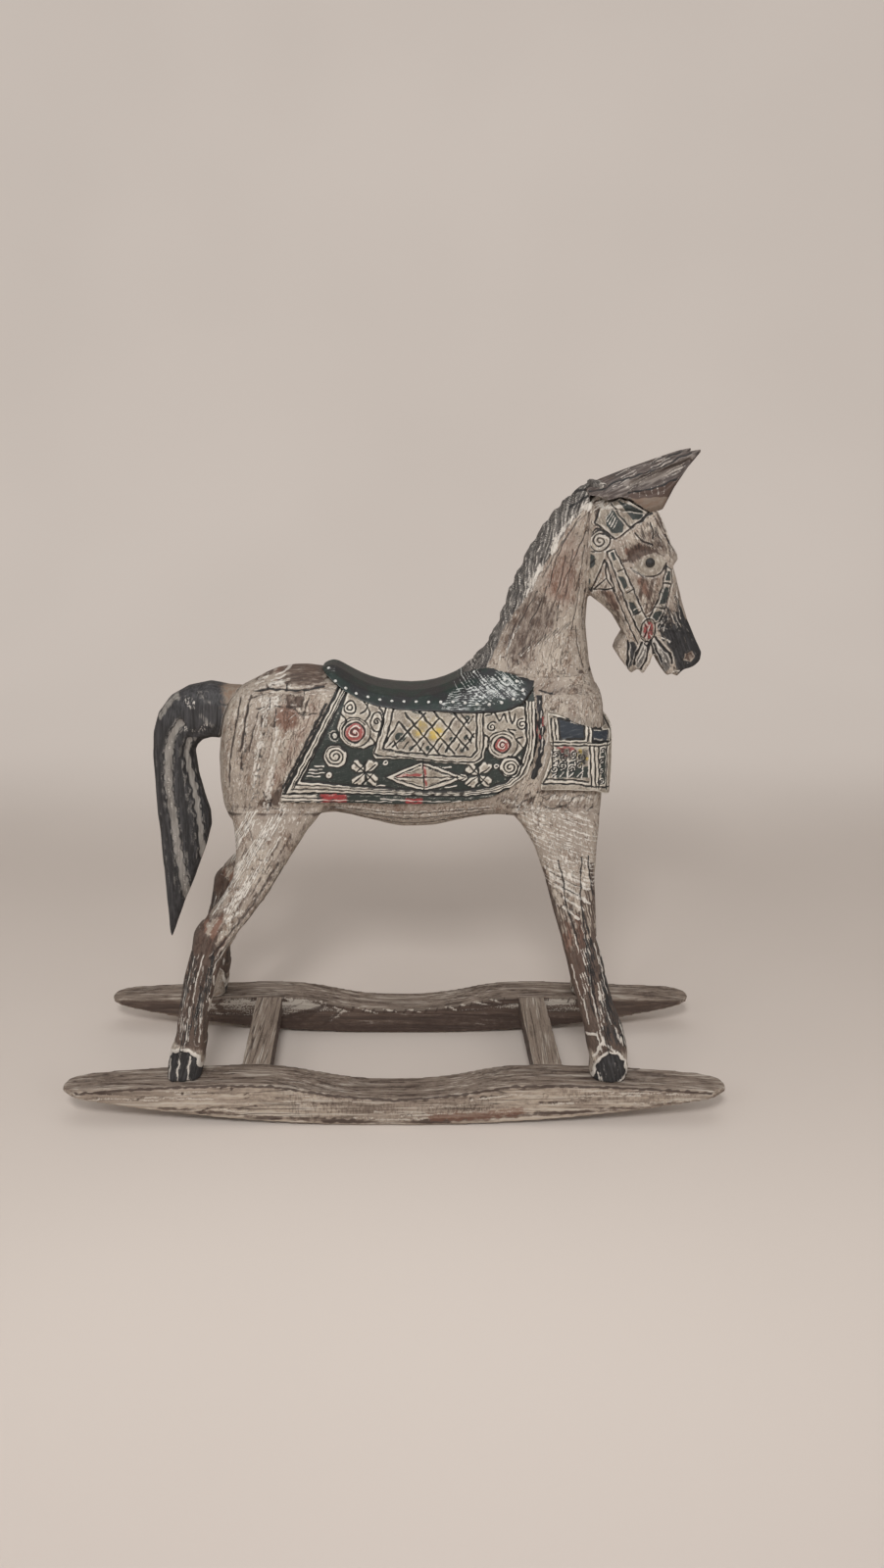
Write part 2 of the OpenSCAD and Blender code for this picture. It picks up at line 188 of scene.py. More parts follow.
def whitewash(name, lean):
    """Limewash and grey paint, rubbed through to the wood along a grain that leans so many degrees"""
    r = Recipe(name)
    crest = r.layer("crest")
    blotch = r.noise(34, lean, 1.3, detail=4, rough=0.62)
    patch = r.noise(8, lean, 2.2, detail=3, rough=0.6, shift=3)
    fine = r.noise(3.2, lean, 2.2, detail=4, rough=0.7, twist=0.5)
    speck = r.noise(1.4, lean, 1.8, detail=2, rough=0.7)
    streak = r.noise(1.8, lean, 14, detail=3, rough=0.6)
    worm = r.noise(3.6, lean, 3, detail=2, rough=0.55, twist=0.8, shift=5)
    split = r.noise(6.5, lean, 22, detail=2, rough=0.4, shift=7)

    def worn_to(mask, low, high, noise=0.9):
        return (mask + (fine - 0.5) * noise + (streak - 0.5) * noise).between(low, high)

    colour = r.mix(blotch.between(0.36, 0.64), LIMEWASH_GREY, LIMEWASH)
    colour = r.mix((patch * 0.6 + fine * 0.5).between(0.54, 0.7) * 0.8, colour, BARE_WOOD)
    colour = r.mix((streak * 0.5 + speck * 0.7).between(0.63, 0.76) * 0.7, colour, CHALK)
    scribble = worm.hairlines(0.022) * (patch * 0.5 + blotch * 0.5).between(0.43, 0.53)
    hairline = split.hairlines(0.012) * blotch.between(0.44, 0.54)
    colour = r.mix((scribble + hairline) * 0.72, colour, DARK_BROWN)
    colour = r.mix(worn_to(r.layer("rubbed"), 0.1, 1.0) * 0.85, colour, RED_BROWN)
    # Darker in the hollows, where the crest layer is low
    darker_in_hollows = (crest * -2.6 + (fine - 0.5) * 0.6).between(0.2, 0.75)
    colour = r.mix(darker_in_hollows * 0.85, colour, DARK_BROWN)
    # Umber stains, and painted shade brushed on with the same layer under the brow, the cloth and the
    # breastplate and on the far hind leg
    umber = r.mix(streak.between(0.4, 0.7), UMBER, DARK_BROWN)
    colour = r.mix(worn_to(r.layer("stain_and_shade"), 0.3, 0.75) * 0.93, colour, umber)
    grey = r.mix((streak * 0.6 + fine * 0.4).between(0.4, 0.6), MANE_DARK, MANE_GREY)
    colour = r.mix(worn_to(r.layer("greyed"), 0.25, 0.65, 0.6), colour, grey)
    black = r.mix(streak.between(0.4, 0.75), SOOT, CHARCOAL)
    colour = r.mix(worn_to(r.layer("blackened"), 0.34, 0.6, 0.6), colour, black)
    cream = (r.layer("creamed") + (fine - 0.5) * 0.9).between(0.3, 0.7)
    colour = r.mix(cream * 0.8, colour, r.mix(fine.between(0.36, 0.6), CREAM, CREAM_DIRTY))
    green = (r.layer("inked") + (speck - 0.5) * 0.5).between(0.35, 0.65)
    colour = r.mix(green * 0.95, colour, r.mix(speck.between(0.45, 0.75), BOTTLE_GREEN, CHARCOAL))
    rose = r.mix(speck.between(0.45, 0.65), ROSE, DARK_BROWN)
    colour = r.mix(r.layer("rosy").between(0.35, 0.65) * 0.9, colour, rose)
    scraped = (r.layer("chalked") + (streak - 0.5) * 1.5 + (speck - 0.5) * 1.1).between(0.45, 0.7)
    colour = r.mix(scraped * 0.85, colour, CHALK)
    worn = (crest * 2.8 + (speck - 0.5) * 1.1).between(0.35, 0.9)
    colour = r.mix(worn * 0.6, colour, CHALK)
    colour = r.mix((r.layer("lined") + (speck - 0.5) * 0.6).between(0.3, 0.75) * 0.95, colour, SOOT)
    relief = fine * 0.5 + streak * 0.5 + speck * 0.3 - (scribble + hairline) * 0.5 + scraped * 0.3
    return r.finish(colour, 0.6 + speck * 0.25, relief, depth=0.9)


def charred(name, lean, warmth=0.0):
    """Charcoal paint with grey scrapes along the locks"""
    r = Recipe(name)
    crest = r.layer("crest")
    streak = r.noise(1.6, lean, 18, detail=3, rough=0.6)
    broad = r.noise(5, lean, 7, detail=3, rough=0.6)
    fine = r.noise(3.2, lean, 3, detail=4, rough=0.7)
    speck = r.noise(1.2, detail=2)
    colour = r.mix((streak * 0.7 + broad * 0.4).between(0.42, 0.68), SOOT, CHARCOAL)
    bare = (r.layer("creamed") + (fine - 0.5) * 0.9).between(0.3, 0.7)
    colour = r.mix(bare, colour, r.mix(fine.between(0.35, 0.65), CREAM_DIRTY, BARE_WOOD))
    brown = (r.layer("stain_and_shade") + (streak - 0.5) * 0.7).between(0.35, 0.65)
    colour = r.mix(brown, colour, DARK_BROWN)
    greyed = (r.layer("greyed") + (streak - 0.5) * 0.9 + (fine - 0.5) * 0.4).between(0.35, 0.8)
    grey = r.mix((streak * 0.5 + broad * 0.5).between(0.38, 0.6), MANE_GREY, TAIL_GREY)
    colour = r.mix(greyed * 0.9, colour, grey)
    scraped = (r.layer("chalked") + (streak - 0.5) * 1.4 + (speck - 0.5) * 1.3).between(0.45, 0.75)
    colour = r.mix(scraped * 0.75, colour, CHALK)
    worn = (crest * 2.4 + (speck - 0.5) + (fine - 0.5)).between(0.45, 1.0)
    colour = r.mix(worn * 0.5, colour, TAIL_GREY)
    colour = r.mix(warmth, colour, chip(106, 86, 76))
    colour = r.mix((r.layer("lined") + (fine - 0.5) * 0.4).between(0.3, 0.75), colour, SOOT)
    return r.finish(colour, 0.55 + fine * 0.25, streak * 0.6 + fine * 0.4, depth=0.8)


def driftwood(name, lean):
    """Weathered grey-brown plank: darkened on top with painted shade, paler where the saw has left it rough
    """
    r = Recipe(name)
    crest = r.layer("crest")
    blotch = r.noise(44, lean, 2, detail=3, rough=0.6)
    broad = r.noise(5, lean, 12, detail=3, rough=0.6)
    streak = r.noise(1.6, lean, 22, detail=3, rough=0.6)
    fine = r.noise(3.4, lean, 2, detail=4, rough=0.7)
    speck = r.noise(1.3, detail=2)
    saw = r.noise(2.2, 2, 3.2, detail=1)
    split = r.noise(7, lean, 26, detail=2, rough=0.4, shift=7)
    colour = r.mix((broad * 0.7 + streak * 0.4).between(0.42, 0.66), DRIFTWOOD, DRIFT_MID)
    colour = r.mix((blotch * 0.6 + fine * 0.5).between(0.54, 0.7) * 0.75, colour, DRIFT_DARK)
    pale = (r.layer("pale") + (fine - 0.5) * 0.4 + (blotch - 0.5) * 0.6).between(0.25, 0.7)
    cut_face = r.mix((fine * 0.6 + broad * 0.4).between(0.4, 0.6), DRIFT_PALE, DRIFT_MID)
    colour = r.mix(pale * 0.85, colour, cut_face)
    sawn = saw.between(0.48, 0.6) * r.layer("sawn")
    colour = r.mix(sawn * (0.5 + blotch.between(0.4, 0.6) * 0.5), colour, UMBER)
    dark = (streak * 0.7 + broad * 0.5).between(0.6, 0.74)
    colour = r.mix(dark * (0.9 - pale * 0.45), colour, DRIFT_DARK)
    colour = r.mix((streak * 0.5 + broad * 0.6).between(0.54, 0.42) * 0.75, colour, DRIFT_CHALK)
    colour = r.mix(blotch.between(0.56, 0.7) * 0.45, colour, DRIFT_CHALK)
    colour = r.mix((speck * 0.6 + fine * 0.5).between(0.62, 0.74) * 0.6, colour, DRIFT_PALE)
    hairline = split.hairlines(0.02) * blotch.between(0.38, 0.5)
    colour = r.mix(hairline * 0.85, colour, DARK_BROWN)
    # Stains, and painted shade brushed on with the same layer along the tops and edges of the rockers
    stain_and_shade_mask = (r.layer("stain_and_shade") + (fine - 0.5) * 0.8 + (broad - 0.5) * 1.4).between(0.3, 0.7)
    colour = r.mix(stain_and_shade_mask * 0.9, colour, r.mix(broad.between(0.4, 0.6), UMBER, DARK_BROWN))
    red = (r.layer("rubbed") + (fine - 0.5) * 1.2).between(0.3, 0.9)
    colour = r.mix(red * 0.62, colour, RED_BROWN)
    scraped = (r.layer("chalked") + (broad - 0.5) * 1.5 + (speck - 0.5) * 1.1).between(0.45, 0.75)
    colour = r.mix(scraped * 0.85, colour, DRIFT_CHALK)
    worn = (crest * 2.4 + (speck - 0.5) * 1.2).between(0.45, 0.95)
    colour = r.mix(worn * 0.2, colour, DRIFT_PALE)
    colour = r.mix((r.layer("lined") + (fine - 0.5) * 0.7).between(0.3, 0.75) * 0.9, colour, DARK_BROWN)
    relief = streak * 0.5 + fine * 0.4 + sawn * 0.5 - hairline * 0.5
    return r.finish(colour, 0.62 + fine * 0.2, relief, depth=0.8)


def saddle_paint():
    """Dark green enamel, worn and brushed with chalk on the front flap"""
    r = Recipe("dark_green_enamel")
    cloud = r.noise(14, detail=3)
    streak = r.noise(1.5, 62, 9, detail=3, rough=0.6)
    fine = r.noise(3, 62, 2, detail=3, rough=0.6)
    speck = r.noise(1.4, detail=2)
    colour = r.mix(cloud.between(0.4, 0.62), chip(29, 29, 31), chip(22, 38, 33))
    colour = r.mix((speck * 0.6 + fine * 0.5).between(0.6, 0.72) * 0.4, colour, chip(80, 88, 86))
    scraped = (r.layer("chalked") + (streak - 0.5) * 1.2 + (fine - 0.5) * 1.2).between(0.45, 0.8)
    colour = r.mix(scraped * 0.85, colour, chip(196, 198, 194))
    worn = (r.layer("crest") * 3 + (speck - 0.5)).between(0.5, 1.1)
    colour = r.mix(worn * 0.5, colour, chip(118, 126, 122))
    colour = r.mix(r.layer("lined").between(0.3, 0.75), colour, SOOT)
    relief = cloud * 0.2 + streak * 0.25 + speck * 0.1
    return r.finish(colour, 0.42 + speck * 0.25, relief, depth=0.5, coat=0.1)


def stud_paint():
    r = Recipe("white_stud_paint")
    speck = r.noise(0.8, detail=2)
    colour = r.mix(speck.between(0.5, 0.7), chip(214, 212, 206), chip(150, 150, 146))
    return r.finish(colour, 0.45 + speck * 0.2, speck, depth=0.1)


def tack_paint(name):
    """Cream limewash over carving, with dark lines, green grounds and touches of colour"""
    r = Recipe(name)
    crest = r.layer("crest")
    patch = r.noise(9, 20, 1.5, detail=3, rough=0.6)
    fine = r.noise(3.0, 20, 1.6, detail=4, rough=0.7)
    speck = r.noise(1.3, detail=2, rough=0.7)
    streak = r.noise(1.4, 78, 9, detail=3, rough=0.6)
    worm = r.noise(2.6, 70, 2.4, detail=2, rough=0.55, twist=1.0)
    colour = r.mix((fine * 0.6 + patch * 0.4).between(0.42, 0.6), CREAM, CREAM_DIRTY)
    scribble = worm.hairlines(0.03) * patch.between(0.38, 0.5)
    colour = r.mix(scribble * 0.6, colour, chip(70, 61, 54))
    colour = r.mix((speck * 0.6 + streak * 0.5).between(0.6, 0.72) * 0.6, colour, chip(84, 74, 66))
    colour = r.mix((r.layer("ochre") + (fine - 0.5) * 1.2).between(0.3, 1.0) * 0.85, colour, OCHRE)
    colour = r.mix(r.layer("rosy").between(0.35, 0.65) * 0.9, colour, ROSE)
    ground = (r.layer("sunk") + (speck - 0.5) * 0.4).between(0.35, 0.65)
    dark = r.mix((speck * 0.5 + streak * 0.5).between(0.52, 0.66), GREEN_BLACK, chip(76, 80, 76))
    colour = r.mix(ground * 0.97, colour, dark)
    ink = r.mix(streak.between(0.5, 0.8), NAVY, chip(84, 88, 92))
    colour = r.mix(r.layer("inked").between(0.35, 0.65), colour, ink)
    red = r.layer("red_scraps") * (streak * 0.6 + fine * 0.6).between(0.5, 0.62)
    colour = r.mix(red, colour, chip(150, 56, 56))
    # Darker in the hollows of the carving, where the crest layer is low
    darker_in_hollows = (crest * -3.4 + (speck - 0.5) * 0.8).between(0.25, 0.75)
    colour = r.mix(darker_in_hollows * 0.9, colour, chip(44, 40, 37))
    # Lighter on what stands proud: edge wear, and painted highlights along the carving
    worn = (crest * 3.2 + (speck - 0.5) * 1.2).between(0.35, 0.95)
    colour = r.mix(worn * 0.8, colour, chip(216, 209, 197))
    scraped = (r.layer("chalked") + (streak - 0.5) * 1.6).between(0.45, 0.7)
    colour = r.mix(scraped * 0.85, colour, CHALK)
    lined = (r.layer("lined") + (speck - 0.5) * 0.6).between(0.28, 0.7)
    colour = r.mix(lined * 0.96, colour, chip(32, 31, 30))
    return r.finish(colour, 0.5 + speck * 0.25, fine * 0.4 + speck * 0.3 + streak * 0.2, depth=0.7)


def eye_paint():
    r = Recipe("black_eye_paint")
    speck = r.noise(0.9, detail=2)
    colour = r.mix(speck.between(0.5, 0.7), chip(24, 22, 21), chip(52, 46, 42))
    return r.finish(colour, 0.3 + speck * 0.2, speck, depth=0.1, coat=0.4)


def beech():
    r = Recipe("beech_end_grain")
    streak = r.noise(0.8, 0, 14, detail=3)
    fleck = r.noise(2.4, 0, 3, detail=3)
    colour = r.mix(streak.between(0.4, 0.62), chip(196, 160, 122), chip(168, 130, 94))
    colour = r.mix(fleck.between(0.6, 0.7) * 0.5, colour, chip(136, 100, 72))
    return r.finish(colour, 0.55 + streak * 0.2, streak, depth=0.2)


def screw_steel():
    r = Recipe("dulled_screw_steel")
    turned = r.noise(0.5, detail=3)
    tarnish = r.noise(2.0, detail=3)
    colour = r.mix(tarnish.between(0.4, 0.65), chip(150, 146, 142), chip(96, 84, 74))
    return r.finish(colour, 0.35 + tarnish * 0.35, turned, depth=0.05, metal=1.0)


# ---------------------------------------------------------------- working the pieces


def pick(*pieces):
    bpy.ops.object.select_all(action="DESELECT")
    for piece in pieces:
        piece.select_set(True)
    bpy.context.view_layer.objects.active = pieces[0]


def work(piece, kind, **settings):
    """Adds a modifier and applies it"""
    pick(piece)
    modifier = piece.modifiers.new(kind, kind)
    for key, value in settings.items():
        setattr(modifier, key, value)
    bpy.ops.object.modifier_apply(modifier=modifier.name)


def copy_of(name, source):
    copy = bpy.data.objects.new(name, source.data.copy())
    copy.data.name = name
    bpy.context.collection.objects.link(copy)
    return copy


def block(name, nodes, voxel, rounds):
    """One closed block from copies of these frame nodes, with their facets eased away"""
    pick(*[copy_of(name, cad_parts[node]) for node in nodes])
    if len(nodes) > 1:
        bpy.ops.object.join()
    piece = bpy.context.object
    piece.name = piece.data.name = name
    bpy.ops.object.mode_set(mode="EDIT")
    bpy.ops.mesh.select_all(action="SELECT")
    bpy.ops.mesh.remove_doubles(threshold=0.01 * MM)
    bpy.ops.object.mode_set(mode="OBJECT")
    work(piece, "REMESH", mode="VOXEL", voxel_size=voxel * MM)
    work(piece, "SMOOTH", factor=0.5, iterations=rounds)
    return piece


def other_side(piece, name):
    """The mirror image of a finished piece, on the far side"""
    twin = copy_of(name, piece)
    pick(twin)
    bpy.ops.object.mode_set(mode="EDIT")
    bpy.ops.mesh.select_all(action="SELECT")
    bpy.ops.transform.mirror(constraint_axis=(False, True, False), center_override=(0, 0, 0))
    bpy.ops.mesh.normals_make_consistent(inside=False)
    bpy.ops.object.mode_set(mode="OBJECT")
    return twin


def points_of(piece):
    """The places and the facings of a piece's points, in millimetres"""
    mesh = piece.data
    count = len(mesh.vertices)
    place, facing = np.empty(count * 3, np.float32), np.empty(count * 3, np.float32)
    mesh.vertices.foreach_get("co", place)
    mesh.vertex_normals.foreach_get("vector", facing)
    return place.reshape(-1, 3) * 1000, facing.reshape(-1, 3)


def move_to(piece, place):
    piece.data.vertices.foreach_set("co", (place * MM).astype(np.float32).ravel())
    piece.data.update()


def read_layer(piece, name):
    values = np.zeros(len(piece.data.vertices), np.float32)
    if name in piece.data.attributes:
        piece.data.attributes[name].data.foreach_get("value", values)
    return values


def write_layer(piece, name, values):
    attributes = piece.data.attributes
    attribute = attributes[name] if name in attributes else attributes.new(name, "FLOAT", "POINT")
    attribute.data.foreach_set("value", values.astype(np.float32))


# Paths and outlines are drawn in the side view, as (x, z) in millimetres


def flowing(points, step=2.5):
    """A smooth path through the points"""
    points = [np.array(p, float) for p in points]
    stops = [points[0], *points, points[-1]]
    path = []
    for a, b, c, d in zip(stops, stops[1:], stops[2:], stops[3:]):
        count = max(1, round(float(np.linalg.norm(c - b)) / step))
        for t in np.arange(count) / count:
            bend, twist = 2 * a - 5 * b + 4 * c - d, 3 * b - a - 3 * c + d
            path.append(0.5 * (2 * b + (c - a) * t + bend * t * t + twist * t ** 3))
    path.append(points[-1])
    return path


def curves(*paths, step=2.5):
    return [flowing(path, step) for path in paths]


def distances_along(path):
    """How far each point of a path is from its start"""
    return np.concatenate([[0], np.cumsum(np.hypot(*np.diff(np.array(path), axis=0).T))])


def closed(outline):
    return list(outline) + [outline[0]]


def ring(x, z, radius, squash=1.0, count=20):
    turns = [2 * math.pi * i / count for i in range(count)]
    return closed([(x + radius * math.cos(a), z + radius * squash * math.sin(a)) for a in turns])


def spiral(x, z, radius, turns, start=0):
    path = []
    for i in range(int(turns * 18) + 1):
        part = i / (turns * 18)
        angle = math.radians(start) + 2 * math.pi * turns * part
        reach = radius * (1 - 0.85 * part)
        path.append((x + reach * math.cos(angle), z + reach * math.sin(angle)))
    return path


def wander(view):
    """The side view as an unsteady hand sees it, so that every stroke wavers a little"""
    x, z = view.T
    return view + 0.22 * np.stack([np.sin(0.53 * x + 0.31 * z) + np.sin(0.29 * x - 0.61 * z + 1.3),
        np.sin(0.37 * x + 0.47 * z + 2.1) + np.sin(0.69 * x - 0.21 * z + 0.4)], 1)


def pressure(view):
    """How hard the hand presses, about 1"""
    x, z = view.T
    return 1 + 0.2 * np.sin(0.43 * x + 0.57 * z) + 0.2 * np.sin(0.77 * x - 0.39 * z + 2.0)


def gap_to(view, path, limit):
    """How far each point is from a path, if it is nearer than limit"""
    path = np.array(path, float)
    gap = np.full(len(view), limit, np.float32)
    low, high = path.min(0) - limit, path.max(0) + limit
    near = np.nonzero(((view > low) & (view < high)).all(1))[0]
    if not len(near):
        return gap
    spot, best = view[near], gap[near]
    for a, b in zip(path[:-1], path[1:]):
        along = b - a
        length = float(along @ along) or 1e-9
        part = np.clip((spot - a) @ along / length, 0, 1)
        apart = spot - a - part[:, None] * along
        best = np.minimum(best, np.hypot(apart[:, 0], apart[:, 1]))
    gap[near] = best
    return gap


def within(view, outline, soft=0.8):
    """1 inside an outline and 0 outside, with a soft edge"""
    held = np.zeros(len(view), bool)
    x, z = view[:, 0], view[:, 1]
    ends = closed(outline)
    for (ax, az), (bx, bz) in zip(ends[:-1], ends[1:]):
        if az != bz:
            held ^= ((az > z) != (bz > z)) & (x < ax + (bx - ax) * (z - az) / (bz - az))
    gap = gap_to(view, ends, soft)
    return np.clip(0.5 + np.where(held, 0.5, -0.5) * gap / soft, 0, 1)


def on_sides(place, facing):
    """Keeps a stroke to the faces that look sideways"""
    return np.clip((np.abs(facing[:, 1]) - 0.3) / 0.25, 0, 1)


def carve(piece, paths, width, depth, layer="", strength=1.0, only=None):
    """Cuts rounded strokes along paths. A negative depth raises them"""
    place, facing = points_of(piece)
    view = wander(place[:, [0, 2]])
    reach = width / 2 * pressure(view)
    cut = np.zeros(len(place), np.float32)
    for path in paths:
        cut = np.maximum(cut, 1 - (gap_to(view, path, width) / reach) ** 2)
    if only:
        cut *= only(place, facing)
    if depth:
        move_to(piece, place - facing * (cut * depth)[:, None])
    if layer:
        write_layer(piece, layer, np.maximum(read_layer(piece, layer), cut * strength))


def brush(piece, layer, paths, width, strength=1.0, only=None):
    """Brushes a layer on along paths, fading to nothing at the edge of the stroke"""
    carve(piece, paths, width, 0, layer, strength, only)


def cut_lines(piece, paths, width=1.7, depth=1.0, strength=0.95):
    """Cuts dark lines"""
    carve(piece, paths, width, depth, "lined", strength)


def scratch(piece, layer, area, lean, count, length, width, strength=1.0, only=None, depth=0.0):
    """Spreads many short strokes of one lean evenly over an area with four corners"""
    (ax, az), (bx, bz), (cx, cz), (dx, dz) = area
    reach_x, reach_z = math.sin(math.radians(lean)) * length / 2, math.cos(math.radians(lean)) * length / 2
    strokes = []
    for i in range(count):
        across, down, long = (0.31 + i * 0.618) % 1, (0.13 + i * 0.755) % 1, 0.5 + (i * 0.413) % 1
        x = (ax + (bx - ax) * across) * (1 - down) + (dx + (cx - dx) * across) * down
        z = (az + (bz - az) * across) * (1 - down) + (dz + (cz - dz) * across) * down
        strokes.append([(x - reach_x * long, z - reach_z * long), (x + reach_x * long, z + reach_z * long)])
    carve(piece, strokes, width, depth, layer, strength, only)


def fill(piece, layer, outlines, strength=1.0, soft=0.8, only=None):
    """Fills outlines with a layer, or with a strength of 0 clears it out of them"""
    place, facing = points_of(piece)
    view, values = wander(place[:, [0, 2]]), read_layer(piece, layer)
    for outline in outlines:
        held = within(view, outline, soft)
        if only:
            held *= only(place, facing)
        values = values * (1 - held) if strength == 0 else np.maximum(values, held * strength)
    write_layer(piece, layer, values)


def sink(piece, layer, depth):
    """Lowers the surface under a layer"""
    place, facing = points_of(piece)
    move_to(piece, place - facing * (read_layer(piece, layer) * depth)[:, None])


def feel_edges(piece, joints=(), rounds=8):
    """Marks what stands proud and what lies sunk, for lighter worn edges and painted highlights on the one
    and darker hollows on the other, but not the sawn joints.
    A joint is (point, direction) in millimetres"""
    mesh = piece.data
    place, facing = points_of(piece)
    ends = np.empty(len(mesh.edges) * 2, np.int32)
    mesh.edges.foreach_get("vertices", ends)
    a, b = ends.reshape(-1, 2).T
    n = len(place)
    share = np.maximum(np.bincount(a, minlength=n) + np.bincount(b, minlength=n), 1)
    level = place.astype(float)

    def evened(values):
        return (np.bincount(a, values[b], n) + np.bincount(b, values[a], n)) / share

    for _ in range(rounds):
        level = np.stack([evened(level[:, k]) for k in range(3)], 1)
    crest = ((place - level) * facing).sum(1)
    broad = crest.copy()
    for _ in range(3 * rounds):
        broad = evened(broad)
    crest -= broad * 0.85
    for point, way in joints:
        off = np.abs((place - np.array(point)) @ (np.array(way) / np.linalg.norm(way)))
        crest *= np.clip(off / 3 - 0.4, 0, 1)
    write_layer(piece, "crest", crest)


def whittle(piece, size, depth):
    """The shallow unevenness that a knife leaves"""
    marks = bpy.data.textures.new(piece.name + "_knife_marks", "CLOUDS")
    marks.noise_scale = size * MM
    marks.noise_depth = 1
    work(piece, "DISPLACE", texture=marks, texture_coords="LOCAL", strength=depth * MM, mid_level=0.5)


def cutter_from(outline, y0=-120, y1=120, tilt=0.0):
    """A cutter with this outline in the side view, from y0 to y1. A tilted one is turned about the
    long line of the hips, and its outline is measured from that line"""
    mesh = bpy.data.meshes.new("cutter")
    corners = [(x * MM, y * MM, z * MM) for y in (y0, y1) for x, z in outline]
    n = len(outline)
    walls = [(i, (i + 1) % n, (i + 1) % n + n, i + n) for i in range(n)]
    mesh.from_pydata(corners, [], [tuple(reversed(range(n))), tuple(range(n, 2 * n)), *walls])
    cutter = bpy.data.objects.new("cutter", mesh)
    bpy.context.collection.objects.link(cutter)
    pick(cutter)
    bpy.ops.object.mode_set(mode="EDIT")
    bpy.ops.mesh.select_all(action="SELECT")
    bpy.ops.mesh.normals_make_consistent(inside=False)
    bpy.ops.object.mode_set(mode="OBJECT")
    if tilt:
        cutter.rotation_euler = (tilt, 0, 0)
        cutter.location = (0, 0, HIP * MM)
        bpy.ops.object.transform_apply()
    return cutter


def box(x0, z0, x1, z1):
    return [(x0, z0), (x1, z0), (x1, z1), (x0, z1)]


def cut_with(piece, cutter, operation="DIFFERENCE"):
    """Cuts a piece with a cutter, which is used up"""
    work(piece, "BOOLEAN", object=cutter, operation=operation, solver="MANIFOLD")
    bpy.data.objects.remove(cutter)


def saw_off(stock, name, cutter):
    """Saws what is inside the cutter off the stock, as a piece of its own"""
    piece = copy_of(name, stock)
    work(piece, "BOOLEAN", object=cutter, operation="INTERSECT", solver="MANIFOLD")
    cut_with(stock, cutter)
    return piece


def settle(piece, material, slot, *nodes):
    """Gives a piece its finish and its place in the frame"""
    piece.data.materials.clear()
    piece.data.materials.append(material)
    pick(piece)
    bpy.ops.object.shade_smooth_by_angle(angle=math.radians(60))
    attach(piece, "root")
    if nodes:
        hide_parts(*nodes)


# ---------------------------------------------------------------- camera, paper and light


def backdrop_finish():
    """Seamless paper. The camera sees its plain shading in front, and three parts even tone behind"""
    r = Recipe("seamless_paper")
    cloud = r.noise(700, detail=2)
    place = r.node("SeparateXYZ", {0: r.node("TexCoord", {}).outputs["Object"]}).outputs
    colour = r.mix(cloud.between(0.3, 0.7), chip(210, 199, 190), chip(214, 203, 194))
    # Painted shade: the paper is darker towards the camera
    colour = r.mix(Amount(r, place[1]).between(-0.25, -0.75), colour, chip(192, 181, 173))
    r.finish(colour, 0.9)
    tone = r.node("Emission", {0: colour, 1: 0.94})
    even = Amount(r, place[1]).between(0.45, 1.15) * 0.75
    seen = Amount(r, r.node("LightPath", {}).outputs["Is Camera Ray"]) * even
    blend = r.node("MixShader", {0: seen, 1: r.shader.outputs[0], 2: tone.outputs[0]})
    r.feed(r.tree.nodes["Material Output"].inputs[0], blend.outputs[0])
    return r.material


def set_camera():
    bpy.ops.object.camera_add(location=(0.0434, -1.0206, 0.6143), rotation=(math.radians(72.47), 0, 0))
    camera = bpy.context.object
    camera.data.lens = 27
    bpy.context.scene.camera = camera


def roll_out_paper():
    """A sheet on the floor whose far edge rises into a wall, with a wide curve between them"""
    bpy.ops.object.select_all(action="DESELECT")
    bpy.ops.mesh.primitive_plane_add(size=14, location=(0, -5.4, 0))
    paper = bpy.context.object
    paper.name = "backdrop_paper"
    bpy.ops.object.transform_apply(location=True)
    far_edge = [e.index for e in paper.data.edges if all(paper.data.vertices[i].co.y > 0 for i in e.vertices)]
    for part in (paper.data.polygons, paper.data.edges, paper.data.vertices):
        part.foreach_set("select", [False] * len(part))
    for index in far_edge:
        paper.data.edges[index].select = True
    bpy.ops.object.mode_set(mode="EDIT")
    bpy.ops.mesh.extrude_region_move(TRANSFORM_OT_translate={"value": (0, 0.6, 5)})
    bpy.ops.object.mode_set(mode="OBJECT")
    work(paper, "BEVEL", width=0.6, segments=16, limit_method="ANGLE")
    bpy.ops.object.shade_smooth()
    paper.data.materials.append(backdrop_finish())


def set_lights():
    """A pale room and soft lamps that all face the middle of the horse"""
    world = bpy.data.worlds.new("soft_room")
    bpy.context.scene.world = world
    world.use_nodes = True
    room = world.node_tree.nodes["Background"].inputs
    room["Color"].default_value = (1, 0.975, 0.95, 1)
    room["Strength"].default_value = 0.43

    lamps = (("front_softbox", (-0.05, -1.3, 1.25), 0.3, 13.5), ("window_left", (-0.9, -1.4, 1.2), 0.5, 3),
        ("window_right", (0.9, -1.4, 0.9), 0.5, 2.5), ("ceiling", (0.1, 0.1, 2.2), 1.6, 5))
    for name, place, size, power in lamps:
        bpy.ops.object.light_add(type="AREA", location=place)
        light = bpy.context.object
        light.name = name
        light.data.size = size
        light.data.energy = power
        light.rotation_euler = (Vector((0, 0, 0.2)) - Vector(place)).to_track_quat("-Z", "Y").to_euler()
    bpy.context.scene.view_settings.view_transform = "Standard"


# ---------------------------------------------------------------- drawings in the side view

# The crest line of the neck, and the mane's outline from it down to its own lower edge
CREST = [(60, 400), (68, 404), (77, 410), (82, 417), (85, 429), (91, 442), (94, 454), (100, 463),
    (105, 474), (111, 488), (116, 501), (122, 511), (132, 526), (142, 539), (157, 554), (168, 560),
    (184, 564)]
MANE = [(40, 396), (56, 410), (66, 430), (76, 460), (92, 500), (112, 536), (140, 566), (176, 580),
    (240, 600), (240, 560), (204, 552), (180, 547), (163, 539), (152, 529), (143, 515), (134, 500),
    (124, 482), (114, 464), (104, 450), (96, 437), (91, 424), (86, 412), (78, 400), (66, 396)]

